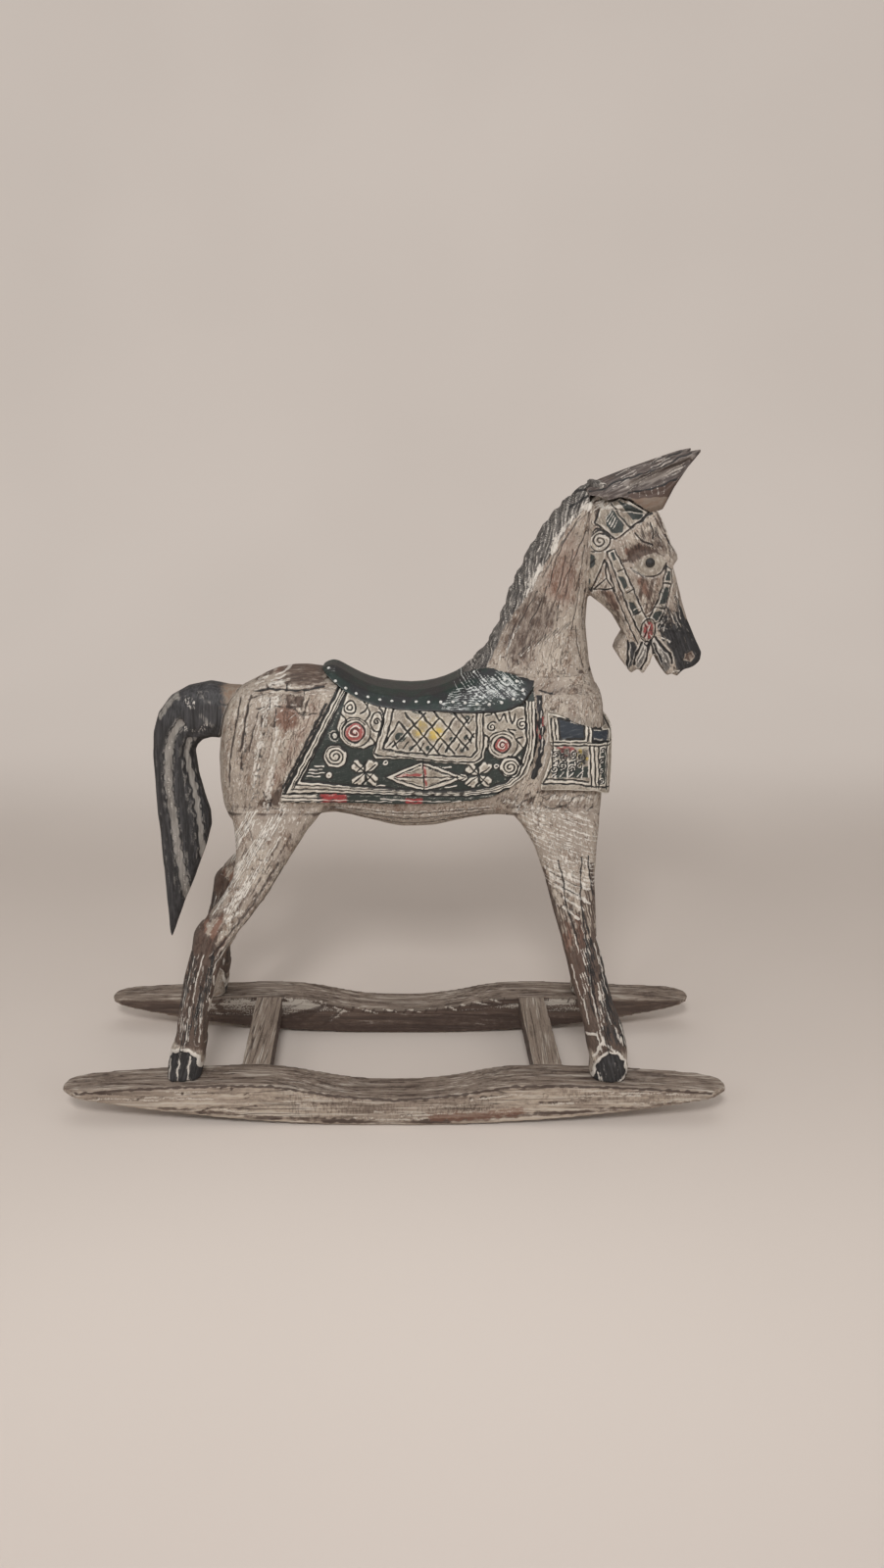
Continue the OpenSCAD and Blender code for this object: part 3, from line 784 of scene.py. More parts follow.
# The headstall and the eye, on the head
CROWN_STRAP = [(176, 543), (170, 527), (179, 520), (188, 513), (200, 522.5), (216, 535), (198, 545),
    (191, 547), (183, 544)]
CHEEK_STRAP = [(181, 503), (187, 506), (196, 490), (205, 472), (215, 452), (222, 440), (220, 425),
    (212, 435), (203, 452), (192, 476)]
NOSE_STRAP = [(232, 492), (237, 488), (238, 478), (235, 460), (233, 452), (229, 444), (223, 441),
    (220, 448), (224, 456), (227, 465), (230, 478)]
THROAT_STRAP = [(184, 514), (170, 520), (163, 506), (160, 494), (161, 482), (169, 469), (180, 497)]
EYE_POCKET = [(197, 495), (200, 508), (209, 510), (218, 508), (224, 504), (230, 500), (221, 502),
    (212, 499), (204, 494)]
EYE = [(202, 490), (207, 486), (214, 483), (224, 483.5), (229, 487), (232, 494), (228, 499), (220, 502),
    (213, 499), (206, 494)]

# The wood that is cut away in front of the brow
BROW_CUT = [(217, 545), (224.5, 534), (231.5, 520), (236, 509), (244.5, 497.5), (300, 497), (300, 560)]

# The slope of the head that an ear sits on
EAR_SEAT = [(166, 549), (174, 548), (181, 545.5), (191, 548), (198, 547), (207, 541), (216, 535.5),
    (225, 535.5), (226, 500), (166, 500)]

# The saddle cloth's frame, and the fields that stand up from its cut away grounds
CLOTH_EDGE = [(-45, 389), (-93, 299), (-64, 299.5), (-36, 298), (26, 296), (65, 295.5), (90, 299),
    (106, 306), (117, 316), (122, 330), (124, 346), (123, 380)]
CLOTH_FIELD = [(-37, 389), (-78, 311), (-60, 309.5), (-36, 306), (27, 301), (62, 301), (84, 304.5),
    (98, 309.5), (107, 318), (113, 332), (116, 346), (114, 380)]
POCKET = [(-4, 376), (-16, 336), (-13, 331), (14, 331), (44, 327), (71, 326), (79, 331), (81, 344),
    (79, 376)]
LOZENGE = [(-6, 314), (11, 322), (26, 328), (44, 322), (64, 314), (44, 305), (28, 301), (7, 307)]
UPPER_LEFT = [(-37, 388), (-4, 374), (-12, 345), (-24, 340), (-40, 345), (-46, 358)]
UPPER_RIGHT = [(79, 378), (115, 376), (116, 344), (106, 333), (88, 332), (80, 342)]
LEAF_CROSSES = [(-23, 318), (75, 316)]
ROSETTES = (((-31, 354), 8.5, 13.5), ((95, 343), 6.8, 13))

# The saddle's lower rim, and the line of its studs
SADDLE_RIM = [(-66, 401), (-56, 396), (-47, 389.5), (-38, 383.5), (-26, 378), (-12, 375), (4, 373),
    (20, 372), (66, 371.5), (88, 371.5), (102, 374), (112, 379), (119, 388)]
STUD_LINE = [(-55, 403), (-51, 398), (-45, 393), (-38, 389), (-30, 385), (-20, 382), (-9, 379.5),
    (0, 378.5), (10, 378), (31, 378), (54, 379.5), (70, 378.5), (84, 378), (94, 379.5), (103, 382),
    (110, 387), (115, 392)]
STUD_PITCH = 10.4

# Sawn joints, each as a point on it and its direction
HEAD_CUTS = (((HEAD_JOINT, 0, 500), (1, 0, 0)), ((180, 0, THROAT), (0, 0, 1)))
HIP_CUTS = tuple(((0, 0, HIP), (0, side * math.sin(HIP_TILT), math.cos(HIP_TILT))) for side in (1, -1))


def deck_joint(z):
    return (0, 0, z), (0, 0, 1)


# ---------------------------------------------------------------- trunk, caps and legs


def paint_behind_cloth(trunk):
    """A painted shadow with a ragged edge, and bare wood, along the rear of the saddle cloth"""
    rear_of_cloth = flowing([(-56, 377), (-70, 350), (-81, 329), (-95, 303)])
    # Painted shadow of the cloth's rear edge, with short ragged strokes along it
    brush(trunk, "lined", [rear_of_cloth], 3, 1.2)
    brush(trunk, "lined",
        [[(-60 - 3.1 * i, 367 - 5.6 * i), (-55 - 3.1 * i, 369.5 - 5.6 * i)] for i in range(12)], 1.6, 0.9)
    brush(trunk, "rubbed", curves([(-66, 372), (-80, 348), (-96, 318), (-106, 300)]), 20, 0.5)
    brush(trunk, "stain_and_shade", [[(-92, 306), (-104, 290), (-112, 288)]], 14, 0.8)


def carve_haunch(trunk):
    """Splits, the round rub mark and patched paint behind the saddle cloth"""
    carve(trunk, curves([(-122, 381), (-124, 371), (-126, 360), (-129, 345), (-131, 335)],
        [(-131, 383), (-134, 360), (-137, 345), (-141, 324), (-143, 302)],
        [(-69, 368), (-78, 368), (-83, 373), (-90, 374)], [(-70, 383), (-74, 372), (-75, 364)],
        [(-112, 300), (-106, 286), (-96, 282)]), 2.4, 0.7, "lined", 0.6, on_sides)
    fill(trunk, "stain_and_shade", [[(-90, 383), (-74, 383), (-74, 372), (-88, 374)]], 0.45, 2)
    fill(trunk, "rubbed", [ring(-89, 365, 10.5, 1.0)], 1.15, 4)
    fill(trunk, "stain_and_shade", [[(-92, 384), (-74, 384), (-74, 372), (-90, 372)]], 0.75, 2)
    scratch(trunk, "chalked", [(-102, 372), (-80, 378), (-76, 352), (-98, 350)], 60, 9, 9, 1.3, 0.8)
    fill(trunk, "chalked", [[(-116, 383), (-93, 385), (-95, 374), (-104, 368), (-103, 356), (-110, 357),
        (-114, 371)]], 0.62, 3)
    carve(trunk, [[(-118, 371), (-106, 374), (-92, 374)], [(-105, 385), (-104, 372)],
        [(-112, 371), (-111, 357)], [(-99, 372), (-100, 358)]], 1.6, 0.6, "lined", 0.7, on_sides)
    scratch(trunk, "stain_and_shade", [(-112, 384), (-66, 384), (-80, 350), (-112, 350)], 8, 26, 16, 1.6, 0.6)
    fill(trunk, "stain_and_shade", [[(-90, 384), (-76, 384), (-77, 374), (-88, 374)]], 0.5, 1)
    carve(trunk, [[(-79, 369.5), (-63, 369)], [(-75, 384), (-77, 371)],
        [(-88, 384), (-88, 374), (-77, 374)], [(-122, 379), (-114, 382), (-108, 384)],
        flowing([(-124, 378), (-128, 346), (-131, 320)]), flowing([(-114, 370), (-121, 345), (-123, 335)])],
        1.8, 0.6, "lined", 0.6, on_sides)


def wash_haunch(trunk):
    """Stains that run down the haunch, with fine scratches over them"""
    brush(trunk, "stain_and_shade", curves([(-128, 340), (-126, 313), (-130, 291), (-126, 262)]), 30, 0.38)
    brush(trunk, "stain_and_shade", [flowing([(-110, 372), (-104, 345), (-110, 330)]), [(-96, 345), (-88, 336)]],
        16, 0.3)
    scratch(trunk, "chalked", [(-118, 350), (-92, 350), (-92, 268), (-124, 268)], 14, 46, 22, 1.8, 0.75)
    scratch(trunk, "lined", [(-132, 356), (-100, 356), (-104, 268), (-136, 268)], 12, 40, 16, 1.1, 0.6,
        on_sides)


def carve_belly(trunk):
    """Long shallow cuts below the saddle cloth"""
    brush(trunk, "rubbed", curves([(-60, 287), (20, 280), (100, 282)]), 16, 0.35)
    carve(trunk, [flowing([(-60, 284 - i), (10, 276 - 3 * i), (84, 282 - 2 * i)]) for i in (0, 2, 4)], 1.8,
        0.5, "lined", 0.75)
    chalk = [flowing([(-50, 286 - 2 * i), (10, 278 - 4 * i), (90, 284 - 3 * i)]) for i in (0, 1, 2)]
    brush(trunk, "chalked", chalk, 2.2, 0.8)


def carve_chest(trunk):
    """Cuts and stains above the foreleg, with painted shade under the saddle cloth and the breastplate"""
    # Painted shade and stain under the front corner of the saddle cloth
    fill(trunk, "stain_and_shade", [[(84, 296), (112, 303), (128, 297), (129, 286), (121, 272), (106, 274),
        (92, 286)]], 0.5, 5)
    carve(trunk, curves([(126, 300), (134, 292), (142, 297), (152, 288), (163, 296), (176, 290)],
        [(128, 290), (138, 283), (150, 286), (160, 279), (176, 283)], [(118, 292), (110, 284), (118, 276)],
        [(150, 296), (146, 288), (152, 281)]), 2.2, 0.5, "lined", 0.6, on_sides)
    # Painted shade under the breastplate, with stain
    brush(trunk, "stain_and_shade", [[(128, 299), (181, 300)], [(134, 287), (176, 285)]], 7, 0.5)
    scratch(trunk, "lined", [(118, 302), (182, 302), (182, 268), (112, 272)], 76, 44, 12, 1.3, 0.6, on_sides)
    brush(trunk, "chalked", [[(100, 290), (150, 278)], [(110, 280), (170, 270)], [(140, 294), (180, 292)]],
        12, 0.6)


def paint_cloth_strap(trunk):
    """A narrow black strap down the front of the saddle cloth"""
    strip = flowing([(126, 388), (128, 364), (129, 346), (127, 326), (122, 313)])
    brush(trunk, "blackened", [strip], 6, 1.3)
    brush(trunk, "chalked", [[(x + 4.6, z) for x, z in strip], [(x + 0.4, z) for x, z in strip[4:24:2]]],
        1.6, 0.9)
    brush(trunk, "rosy", [[(129, 366), (130, 359)], [(127, 352), (128, 348)]], 2.4, 1)


def carve_trunk(trunk):
    paint_behind_cloth(trunk)
    carve_haunch(trunk)
    wash_haunch(trunk)
    carve_belly(trunk)
    carve_chest(trunk)
    paint_cloth_strap(trunk)


def make_trunk_pieces():
    """Rounds the whole body as one block and saws it along its glue lines"""
    trunk = block("trunk_log", ("trunk", "rump_cap", "withers_cap", "neck", "head", "leg_front_left",
        "leg_front_right", "leg_hind_left", "leg_hind_right"), voxel=1.4, rounds=3)
    place, _ = points_of(trunk)
    broad = trunk.vertex_groups.new(name="broad_forms")
    is_head = (place[:, 0] > HEAD_JOINT - 8) & (place[:, 2] > THROAT - 100)
    broad.add([int(i) for i in np.nonzero(~is_head)[0]], 1.0, "REPLACE")
    work(trunk, "SMOOTH", factor=0.5, iterations=14, vertex_group="broad_forms")
    whittle(trunk, 22, 1.2)

    behind_jaw = [(HEAD_JOINT, THROAT), (176, 455), (186, 444), (186, 340)]
    head = saw_off(trunk, "head", cutter_from([*behind_jaw, (400, 340), (400, 700), (HEAD_JOINT, 700)]))
    neck = saw_off(trunk, "neck", cutter_from(box(30, NECK_FOOT, 400, 700)))
    withers = saw_off(trunk, "withers_cap", cutter_from(box(30, DECK, 400, NECK_FOOT)))
    rump = saw_off(trunk, "rump_cap", cutter_from(box(-300, DECK, 20, 500)))
    legs = {}
    for side, hand in ((-1, "right"), (1, "left")):
        for end, low_x, high_x in (("front", 100, 300), ("hind", -300, -56)):
            name = f"leg_{end}_{hand}"
            y0, y1 = sorted((side * 12, side * 150))
            cutter = cutter_from(box(low_x, -500, high_x, 0), y0, y1, side * HIP_TILT)
            legs[name] = saw_off(trunk, name, cutter)
    return trunk, head, neck, withers, rump, legs


def shape_hoof(leg, hoof):
    """Blackens a hoof and raises a rim round it. The outline starts and ends at the sole"""
    fill(leg, "stain_and_shade", [hoof], 0, 1.5)
    fill(leg, "blackened", [hoof], 1.2, 1.5)
    carve(leg, [hoof[1:8]], 4.5, -1.0)


def carve_hind_shin(leg, at):
    """Knife facets and dark paint below the hock"""
    shin = at((-178, 192), (-166, 184), (-156, 172), (-148, 160), (-150, 140), (-155, 121), (-158, 88),
        (-158, 66), (-174, 72), (-187, 76), (-206, 80), (-206, 101), (-200, 127), (-190, 156), (-182, 180))
    fill(leg, "stain_and_shade", [shin], 1.1, 3)
    carve(leg, [at((-176, 162), (-184, 129), (-188, 108), (-190, 84)),
        at((-168, 162), (-175, 137), (-181, 111), (-186, 80)), at((-158, 146), (-166, 119), (-169, 79)),
        at((-164, 150), (-172, 112), (-175, 78))], 4, 0.9, "lined", 0.5)
    scratch(leg, "stain_and_shade", at((-176, 186), (-146, 180), (-150, 146), (-182, 150)), 28, 18, 16, 2.6, 0.8)
    scratch(leg, "lined", at((-180, 160), (-152, 152), (-160, 74), (-200, 82)), 10, 26, 30, 1.8, 0.8)
    scratch(leg, "chalked", at((-182, 152), (-152, 148), (-160, 78), (-198, 84)), 10, 16, 28, 1.2, 1.0)


def carve_thigh(leg, at):
    """The shaded rear edge, long cuts and chalked front of the thigh, down to the hock"""
    shadow = at((-66, 282), (-92, 247), (-110, 222), (-128, 195), (-150, 166), (-160, 146))
    brush(leg, "stain_and_shade", [shadow], 12, 0.5)
    carve(leg, [at((-100, 238), (-112, 220), (-123, 202), (-143, 178), (-160, 157)),
        at((-96, 232), (-118, 199), (-135, 178), (-149, 163), (-159, 147))], 4, 0.8, "lined", 0.55)
    carve(leg, [at((-168, 184), (-156, 190), (-146, 200), (-136, 212))], 5, 0.9, "lined", 0.3)
    carve(leg, [flowing(at((-129, 273), (-123, 260), (-121, 250), (-117, 242), (-110, 241))),
        flowing(at((-138, 266), (-132, 258), (-129, 250), (-133, 242)))], 1.6, 0.5, "lined", 0.45)
    brush(leg, "stain_and_shade", [at((-172, 186), (-150, 196), (-140, 206))], 12, 0.6)
    scratch(leg, "rubbed", at((-172, 188), (-148, 194), (-148, 166), (-168, 160)), 32, 12, 16, 4, 1.1)
    brush(leg, "chalked", [at((-147, 200), (-130, 212)), at((-146, 190), (-130, 200)),
        at((-150, 180), (-138, 188))], 8, 0.55)
    brush(leg, "chalked", [at((-110, 262), (-122, 232), (-142, 200))], 22, 0.4)
    scratch(leg, "chalked", at((-132, 280), (-84, 280), (-138, 196), (-158, 206)), 31, 60, 20, 1.7, 0.85)
    scratch(leg, "lined", at((-134, 280), (-84, 280), (-134, 190), (-166, 200)), 31, 44, 15, 1.0, 0.6)
    scratch(leg, "stain_and_shade", at((-98, 262), (-84, 262), (-146, 172), (-160, 180)), 33, 16, 26, 2.4, 0.6)


def chalk_hind_shin(leg, at):
    """Thin chalk lines left between the facets"""
    brush(leg, "chalked", [at((-174, 158), (-182, 131), (-187, 112)),
        at((-166, 160), (-173, 137), (-177, 116)), at((-163, 119), (-167, 82)),
        at((-171, 104), (-173, 79)), at((-180, 112), (-183, 96)), at((-188, 104), (-190, 82)),
        at((-129, 184), (-143, 171), (-155, 153), (-161, 138)), at((-158, 140), (-161, 110))], 1.5, 1.0)
    brush(leg, "chalked", [at((-181, 104), (-185, 92), (-184, 82))], 3.5, 0.7)


def carve_hind_hoof(leg, at):
    """The hoof with its chalked rim and grooves"""
    hoof = at((-211, 24), (-209, 46), (-204, 62), (-198, 70), (-190, 73), (-182, 72), (-175, 66),
        (-172, 52), (-168, 24))
    shape_hoof(leg, hoof)
    brush(leg, "chalked", [hoof[1:8]], 4.5, 1.2)
    carve(leg, [at((-190, 70), (-193, 54), (-195, 34)), at((-200, 62), (-203, 40)),
        at((-181, 66), (-184, 50), (-185, 36))], 2.6, 0.6, "chalked", 0.9)
    brush(leg, "stain_and_shade", [at((-170, 80), (-168, 64), (-168, 52))], 9, 0.9)


def carve_hind_leg(leg, far):
    """A hind leg from the foot up. far is how much further back its lower part stands, and a far leg gets
    painted shade
    """

    def at(*points):
        return [(x - far * min(1, max(0, (262 - z) / 60)), z) for x, z in points]

    carve_hind_shin(leg, at)
    carve_thigh(leg, at)
    chalk_hind_shin(leg, at)
    carve_hind_hoof(leg, at)
    # Painted shade: the far hind leg is darkened over the thigh and hock
    if far:
        brush(leg, "stain_and_shade", [at((-140, 240), (-156, 200), (-170, 176))], 40, 0.42)


def paint_front_shin(leg):
    """Brown stain from the knee down, nearly black along the rear, with chalk lines"""
    brown = [(138, 176), (152, 166), (176, 170), (196, 176), (200, 150), (214, 112), (220, 74), (206, 66),
        (180, 66), (160, 74), (152, 97), (144, 131)]
    fill(leg, "stain_and_shade", [brown], 0.9, 9)
    scratch(leg, "stain_and_shade", [(146, 206), (182, 206), (186, 160), (150, 160)], -14, 34, 26, 2.2, 0.85)
    scratch(leg, "rubbed", [(148, 188), (170, 186), (178, 130), (158, 128)], -14, 16, 26, 4, 1.1)
    dark = [(176, 176), (190, 172), (196, 146), (206, 114), (214, 94), (216, 74), (200, 68), (190, 80),
        (182, 109), (176, 140)]
    fill(leg, "blackened", [dark], 0.5, 8)
    scratch(leg, "lined", [(166, 182), (192, 178), (212, 76), (180, 80)], -17, 34, 24, 2.0, 0.85)
    scratch(leg, "chalked", [(162, 176), (192, 172), (212, 76), (172, 80)], -16, 32, 17, 1.3, 1.0)
    scratch(leg, "lined", [(134, 262), (176, 262), (180, 190), (148, 190)], -12, 60, 12, 0.9, 0.55)


def cut_foreleg(leg):
    """Long cuts down both edges and the face of the leg"""
    edges = curves([(133, 230), (144, 193), (153, 149), (163, 112), (168, 92)],
        [(174, 236), (177, 205), (176, 178), (182, 153)], step=6)
    brush(leg, "stain_and_shade", edges, 7, 0.75)
    long_cuts = curves([(145, 240), (150, 221), (152, 203), (158, 186), (164, 168)],
        [(166, 243), (165, 221), (166, 200), (170, 175), (173, 153), (177, 127), (183, 103)],
        [(172, 243), (173, 228), (177, 209)], step=6)
    carve(leg, long_cuts, 2.0, 0.8, "lined", 0.75)
    facets = curves([(180, 170), (184, 148), (192, 118), (202, 88)], [(160, 160), (165, 130), (172, 100)],
        step=6)
    carve(leg, facets, 6, 0.8, "lined", 0.3)


def chalk_foreleg(leg):
    """Chalk dragged over the forearm and left between the facets of the shin"""
    brush(leg, "chalked", [[(134, 233), (152, 227), (170, 219)], [(139, 227), (159, 213), (173, 203)],
        [(143, 219), (165, 207)], [(150, 208), (168, 198)], [(150, 200), (164, 190)]], 3.6, 0.85)
    brush(leg, "lined", [[(141, 222), (163, 210)], [(138, 230), (166, 217)], [(150, 203), (166, 193)]],
        1.6, 0.7)
    brush(leg, "chalked", [[(116, 282), (170, 262)], [(130, 254), (172, 238)]], 14, 0.35)
    scratch(leg, "chalked", [(112, 286), (180, 286), (176, 214), (138, 214)], 110, 64, 20, 1.5, 0.85)
    brush(leg, "stain_and_shade", [[(154, 192), (166, 182)], [(152, 184), (160, 176)]], 7, 0.5)
    brush(leg, "chalked", [flowing([(172, 166), (175, 130), (180, 107), (186, 82)], 6),
        [(158, 149), (162, 135), (166, 122)], [(169, 118), (174, 95)], [(178, 168), (182, 150)],
        [(196, 116), (204, 94), (209, 75)], [(160, 176), (164, 160)], [(188, 150), (196, 122)],
        [(186, 118), (194, 96)]], 1.6, 1.0)
    brush(leg, "chalked", [[(182, 126), (185, 116)], [(198, 92), (203, 79)]], 3.5, 0.8)


def carve_front_hoof(leg):
    """The hoof with its chalked rim and two toes"""
    hoof = [(176, 24), (179, 46), (180, 58), (185, 67), (192, 71), (200, 70), (207, 62), (210, 48),
        (212, 24)]
    shape_hoof(leg, hoof)
    brush(leg, "chalked", [hoof[1:8], [(186, 84), (189, 78), (197, 72)], [(187, 82), (179, 66)]], 3.6, 1.1)
    carve(leg, [[(190, 66), (188, 34)], [(199, 65), (200, 34)]], 2.6, 0.5)
    brush(leg, "chalked", [[(183, 50), (187, 41), (191, 37), (199, 38), (206, 44), (210, 52)]], 5, 0.75)
    brush(leg, "chalked", [[(173, 86), (179, 87)]], 4, 1.2)


def carve_front_leg(leg):
    paint_front_shin(leg)
    cut_foreleg(leg)
    chalk_foreleg(leg)
    carve_front_hoof(leg)


# ---------------------------------------------------------------- neck and mane


def carve_mane(piece):
    """Locks that leave the crest and run down beside it, cut between the crest and the mane's own edge"""
    place, facing = points_of(piece)
    view = wander(place[:, [0, 2]])
    crest_line = np.array(flowing(CREST, 1.5))
    run = distances_along(crest_line)
    depth, along = np.full(len(view), 99.0), np.zeros(len(view))
    near = np.nonzero((gap_to(view, crest_line, 34) < 34) & (place[:, 2] > 396))[0]
    away = view[near, None] - crest_line[None]
    apart = np.hypot(away[..., 0], away[..., 1])
    depth[near], along[near] = apart.min(1), run[apart.argmin(1)]
    mane = within(view, MANE, 1.5)
    wave = (along + depth * 2.6) / 19 + 0.25 * np.sin(along / 13)
    lock = np.abs(np.sin(math.pi * wave)) ** 0.6
    strand = np.abs(np.sin(math.pi * wave * 2.7 + 0.6)) ** 0.7
    fade = np.clip(1.3 - depth / 30, 0, 1) * mane
    height = (lock - 0.6) * 2.6 + (strand - 0.6) * 0.7
    move_to(piece, place + facing * (height * fade)[:, None])
    write_layer(piece, "greyed", np.maximum(read_layer(piece, "greyed"), mane * (0.75 + 0.4 * lock)))
    cleft = np.clip(1 - lock * 2.4, 0, 1) * fade
    write_layer(piece, "lined", np.maximum(read_layer(piece, "lined"), cleft * 0.95))
    light = np.clip((lock * 0.6 + strand * 0.5 - 0.7) * 1.5, 0, 1) * fade
    write_layer(piece, "chalked", np.maximum(read_layer(piece, "chalked"), light * 0.75))


def chalk_mane_edge(neck):
    """Chalk and dark strokes where the mane meets the neck"""
    fill(neck, "chalked", [[(132, 500), (135, 512), (143, 523), (151, 533), (157, 536), (150, 526),
        (142, 513), (137, 500)], [(158, 538), (166, 544), (176, 548), (182, 543), (172, 540), (165, 536)],
        [(112, 466), (118, 480), (126, 494), (129, 490), (121, 476), (116, 464)]], 0.95, 2.2)
    brush(neck, "chalked", curves([(104, 448), (116, 466), (128, 486), (140, 506), (156, 526)]), 7, 0.45)
    brush(neck, "lined", [flowing([(142, 540), (154, 550), (168, 555), (182, 560)]),
        [(150, 539), (162, 547), (178, 552)]], 3.4, 0.75)
    brush(neck, "lined", curves([(128, 482), (137, 499), (147, 515), (157, 528), (168, 538)]), 2.2, 0.6)


def stain_neck(neck):
    """Wood rubbed bare in a red patch high on the neck, over an umber one"""
    red = [(150, 522), (139, 503), (131, 485), (128, 471), (134, 458), (146, 456), (157, 461), (160, 482),
        (157, 505)]
    fill(neck, "rubbed", [red], 0.72, 9)
    umber = [(118, 476), (105, 460), (96, 445), (92, 422), (100, 404), (115, 404), (130, 426), (143, 440),
        (147, 456), (132, 468)]
    fill(neck, "stain_and_shade", [umber], 0.6, 8)
    brush(neck, "chalked", curves([(99, 418), (103, 430), (108, 440)], [(92, 408), (96, 420)]), 5, 0.55)


def cut_neck_grain(neck):
    """Grain splits up the neck, a chalked tuft at the poll and a braided edge"""
    carve(neck, curves([(158, 532), (146, 512), (138, 492), (134, 474)],
        [(164, 520), (154, 496), (144, 471), (141, 445)], [(160, 485), (159, 462), (154, 438)],
        [(147, 500), (143, 477), (137, 456)], [(153, 505), (150, 480), (146, 458)],
        [(132, 474), (126, 458), (118, 444)], [(124, 470), (114, 452), (106, 436)],
        [(110, 450), (103, 434), (99, 418)], [(163, 508), (161, 488), (157, 470)],
        [(166, 470), (164, 446), (168, 420)], [(158, 440), (160, 424), (166, 404)]), 1.7, 0.5, "lined",
        0.6, on_sides)
    fill(neck, "lined", [[(160, 535), (168, 546), (178, 554), (190, 552), (184, 541), (172, 538)]], 0, 1.5)
    scratch(neck, "chalked", [(160, 545), (182, 552), (184, 541), (164, 535)], 60, 16, 10, 1.6, 1.0)
    for i in range(9):
        x, z = 108 + 5 * i, 417 + 2.6 * i
        brush(neck, "lined", [[(x, z), (x + 9, z + 9)]], 2.2, 0.55)
        brush(neck, "chalked", [[(x + 2.6, z - 1), (x + 11, z + 7)]], 1.5, 0.6)
    carve(neck, curves([(98, 402), (112, 399), (122, 398.5), (146, 398.5), (172, 399)]), 1.8, 0.5, "lined",
        0.45)


def carve_neck(neck):
    carve_mane(neck)
    chalk_mane_edge(neck)
    stain_neck(neck)
    cut_neck_grain(neck)


def carve_withers(withers):
    brush(withers, "blackened", [[(50, 396), (72, 394), (84, 396)]], 10, 0.5)
    brush(withers, "stain_and_shade", [[(141, 386), (162, 388)]], 16, 0.5)
    carve(withers, [[(126, 388), (132, 386), (138, 385.5)]], 2.4, 0.9, "lined", 1)


def carve_rump(rump):
    """The flat lap joint and patched planks of the back"""
    carve(rump, [[(-122, 384.5), (-114, 385), (-107, 387.5), (-90, 387), (-76, 387), (-58, 390)]], 2.0,
        1.0, "lined", 1.2, on_sides)
    carve(rump, [[(-109, 392), (-104, 396), (-96, 397), (-90, 396), (-90, 386)], [(-75, 387), (-75, 384)],
        [(-109, 392), (-107, 387)]], 1.8, 0.8, "lined", 0.8, on_sides)
    fill(rump, "chalked", [[(-107, 394), (-92, 395), (-91, 389), (-105, 389)], box(-114, 384, -94, 386.5)],
        0.66, 1.5, on_sides)
    fill(rump, "stain_and_shade", [[(-106, 398), (-92, 405), (-60, 408), (-56, 391), (-88, 389), (-89, 397)]], 0.7,
        3)
    scratch(rump, "stain_and_shade", [(-122, 400), (-60, 408), (-60, 388), (-122, 386)], 78, 30, 18, 2.2, 0.75)
    scratch(rump, "chalked", [(-116, 398), (-88, 402), (-88, 388), (-116, 386)], 70, 14, 9, 1.6, 0.9)
    fill(rump, "stain_and_shade", [[(-90, 387), (-76, 387), (-76, 384), (-90, 384)]], 0.5, 1)
    brush(rump, "rubbed", [[(-100, 400), (-84, 404), (-66, 402)]], 9, 0.9)
    brush(rump, "stain_and_shade", curves([(-104, 392), (-112, 388), (-118, 386)]), 8, 0.35)


def refine(piece):
    """Doubles the points along every edge, for fine carving"""
    work(piece, "SUBSURF", subdivision_type="SIMPLE", levels=1, render_levels=1)


def make_wood():
    """The trunk, its layers, the neck, the head and the legs are carved as one, sawn apart and finished"""
    trunk, head, neck, withers, rump, legs = make_trunk_pieces()
    deck, foot = deck_joint(DECK), deck_joint(NECK_FOOT)

    carve_trunk(trunk)
    feel_edges(trunk, (deck, *HIP_CUTS))
    body = whitewash("limewash_body", 16)
    settle(trunk, body, "whitewashed_wood", "trunk")

    carve_rump(rump)
    feel_edges(rump, (deck,))
    settle(rump, whitewash("limewash_rump", 84), "whitewashed_wood", "rump_cap")

    carve_withers(withers)
    feel_edges(withers, (deck, foot))
    settle(withers, whitewash("limewash_withers", 40), "whitewashed_wood", "withers_cap")

    refine(neck)
    carve_neck(neck)
    feel_edges(neck, (foot, *HEAD_CUTS))
    settle(neck, whitewash("limewash_neck", 12), "whitewashed_wood", "neck")

    cut_with(head, cutter_from(BROW_CUT))
    refine(head)
    carve_head(head)
    feel_edges(head, HEAD_CUTS)
    settle(head, whitewash("limewash_head", -24), "whitewashed_wood", "head")

    front = whitewash("limewash_front_legs", -14)
    for name, leg in legs.items():
        refine(leg)
        if "front" in name:
            carve_front_leg(leg)
        else:
            carve_hind_leg(leg, 6 if name.endswith("left") else 0)
        feel_edges(leg, HIP_CUTS)
        settle(leg, front if "front" in name else body, "whitewashed_wood", name)


# ---------------------------------------------------------------- head


def swell_crown(head):
    """Brings the crown out sideways, flush with the roots of the ears"""
    place, _ = points_of(head)
    spread = np.abs(place[:, 1])
    held = within(place[:, [0, 2]], [(166, 600), (166, 536), (176, 530), (200, 530), (222, 526),
        (232, 534), (232, 600)], 9)
    room = np.maximum(21.5 - spread, 0) * np.clip(spread / 5, 0, 1)
    place[:, 1] += np.sign(place[:, 1]) * room * held
    move_to(head, place)
    work(head, "SMOOTH", factor=0.5, iterations=3)


def raise_headstall(head):
    """Straps that stand a little proud of the cheek"""
    fill(head, "creamed", [CROWN_STRAP, CHEEK_STRAP, NOSE_STRAP, THROAT_STRAP], 0.85, 1.2, on_sides)
    sink(head, "creamed", -1.3)


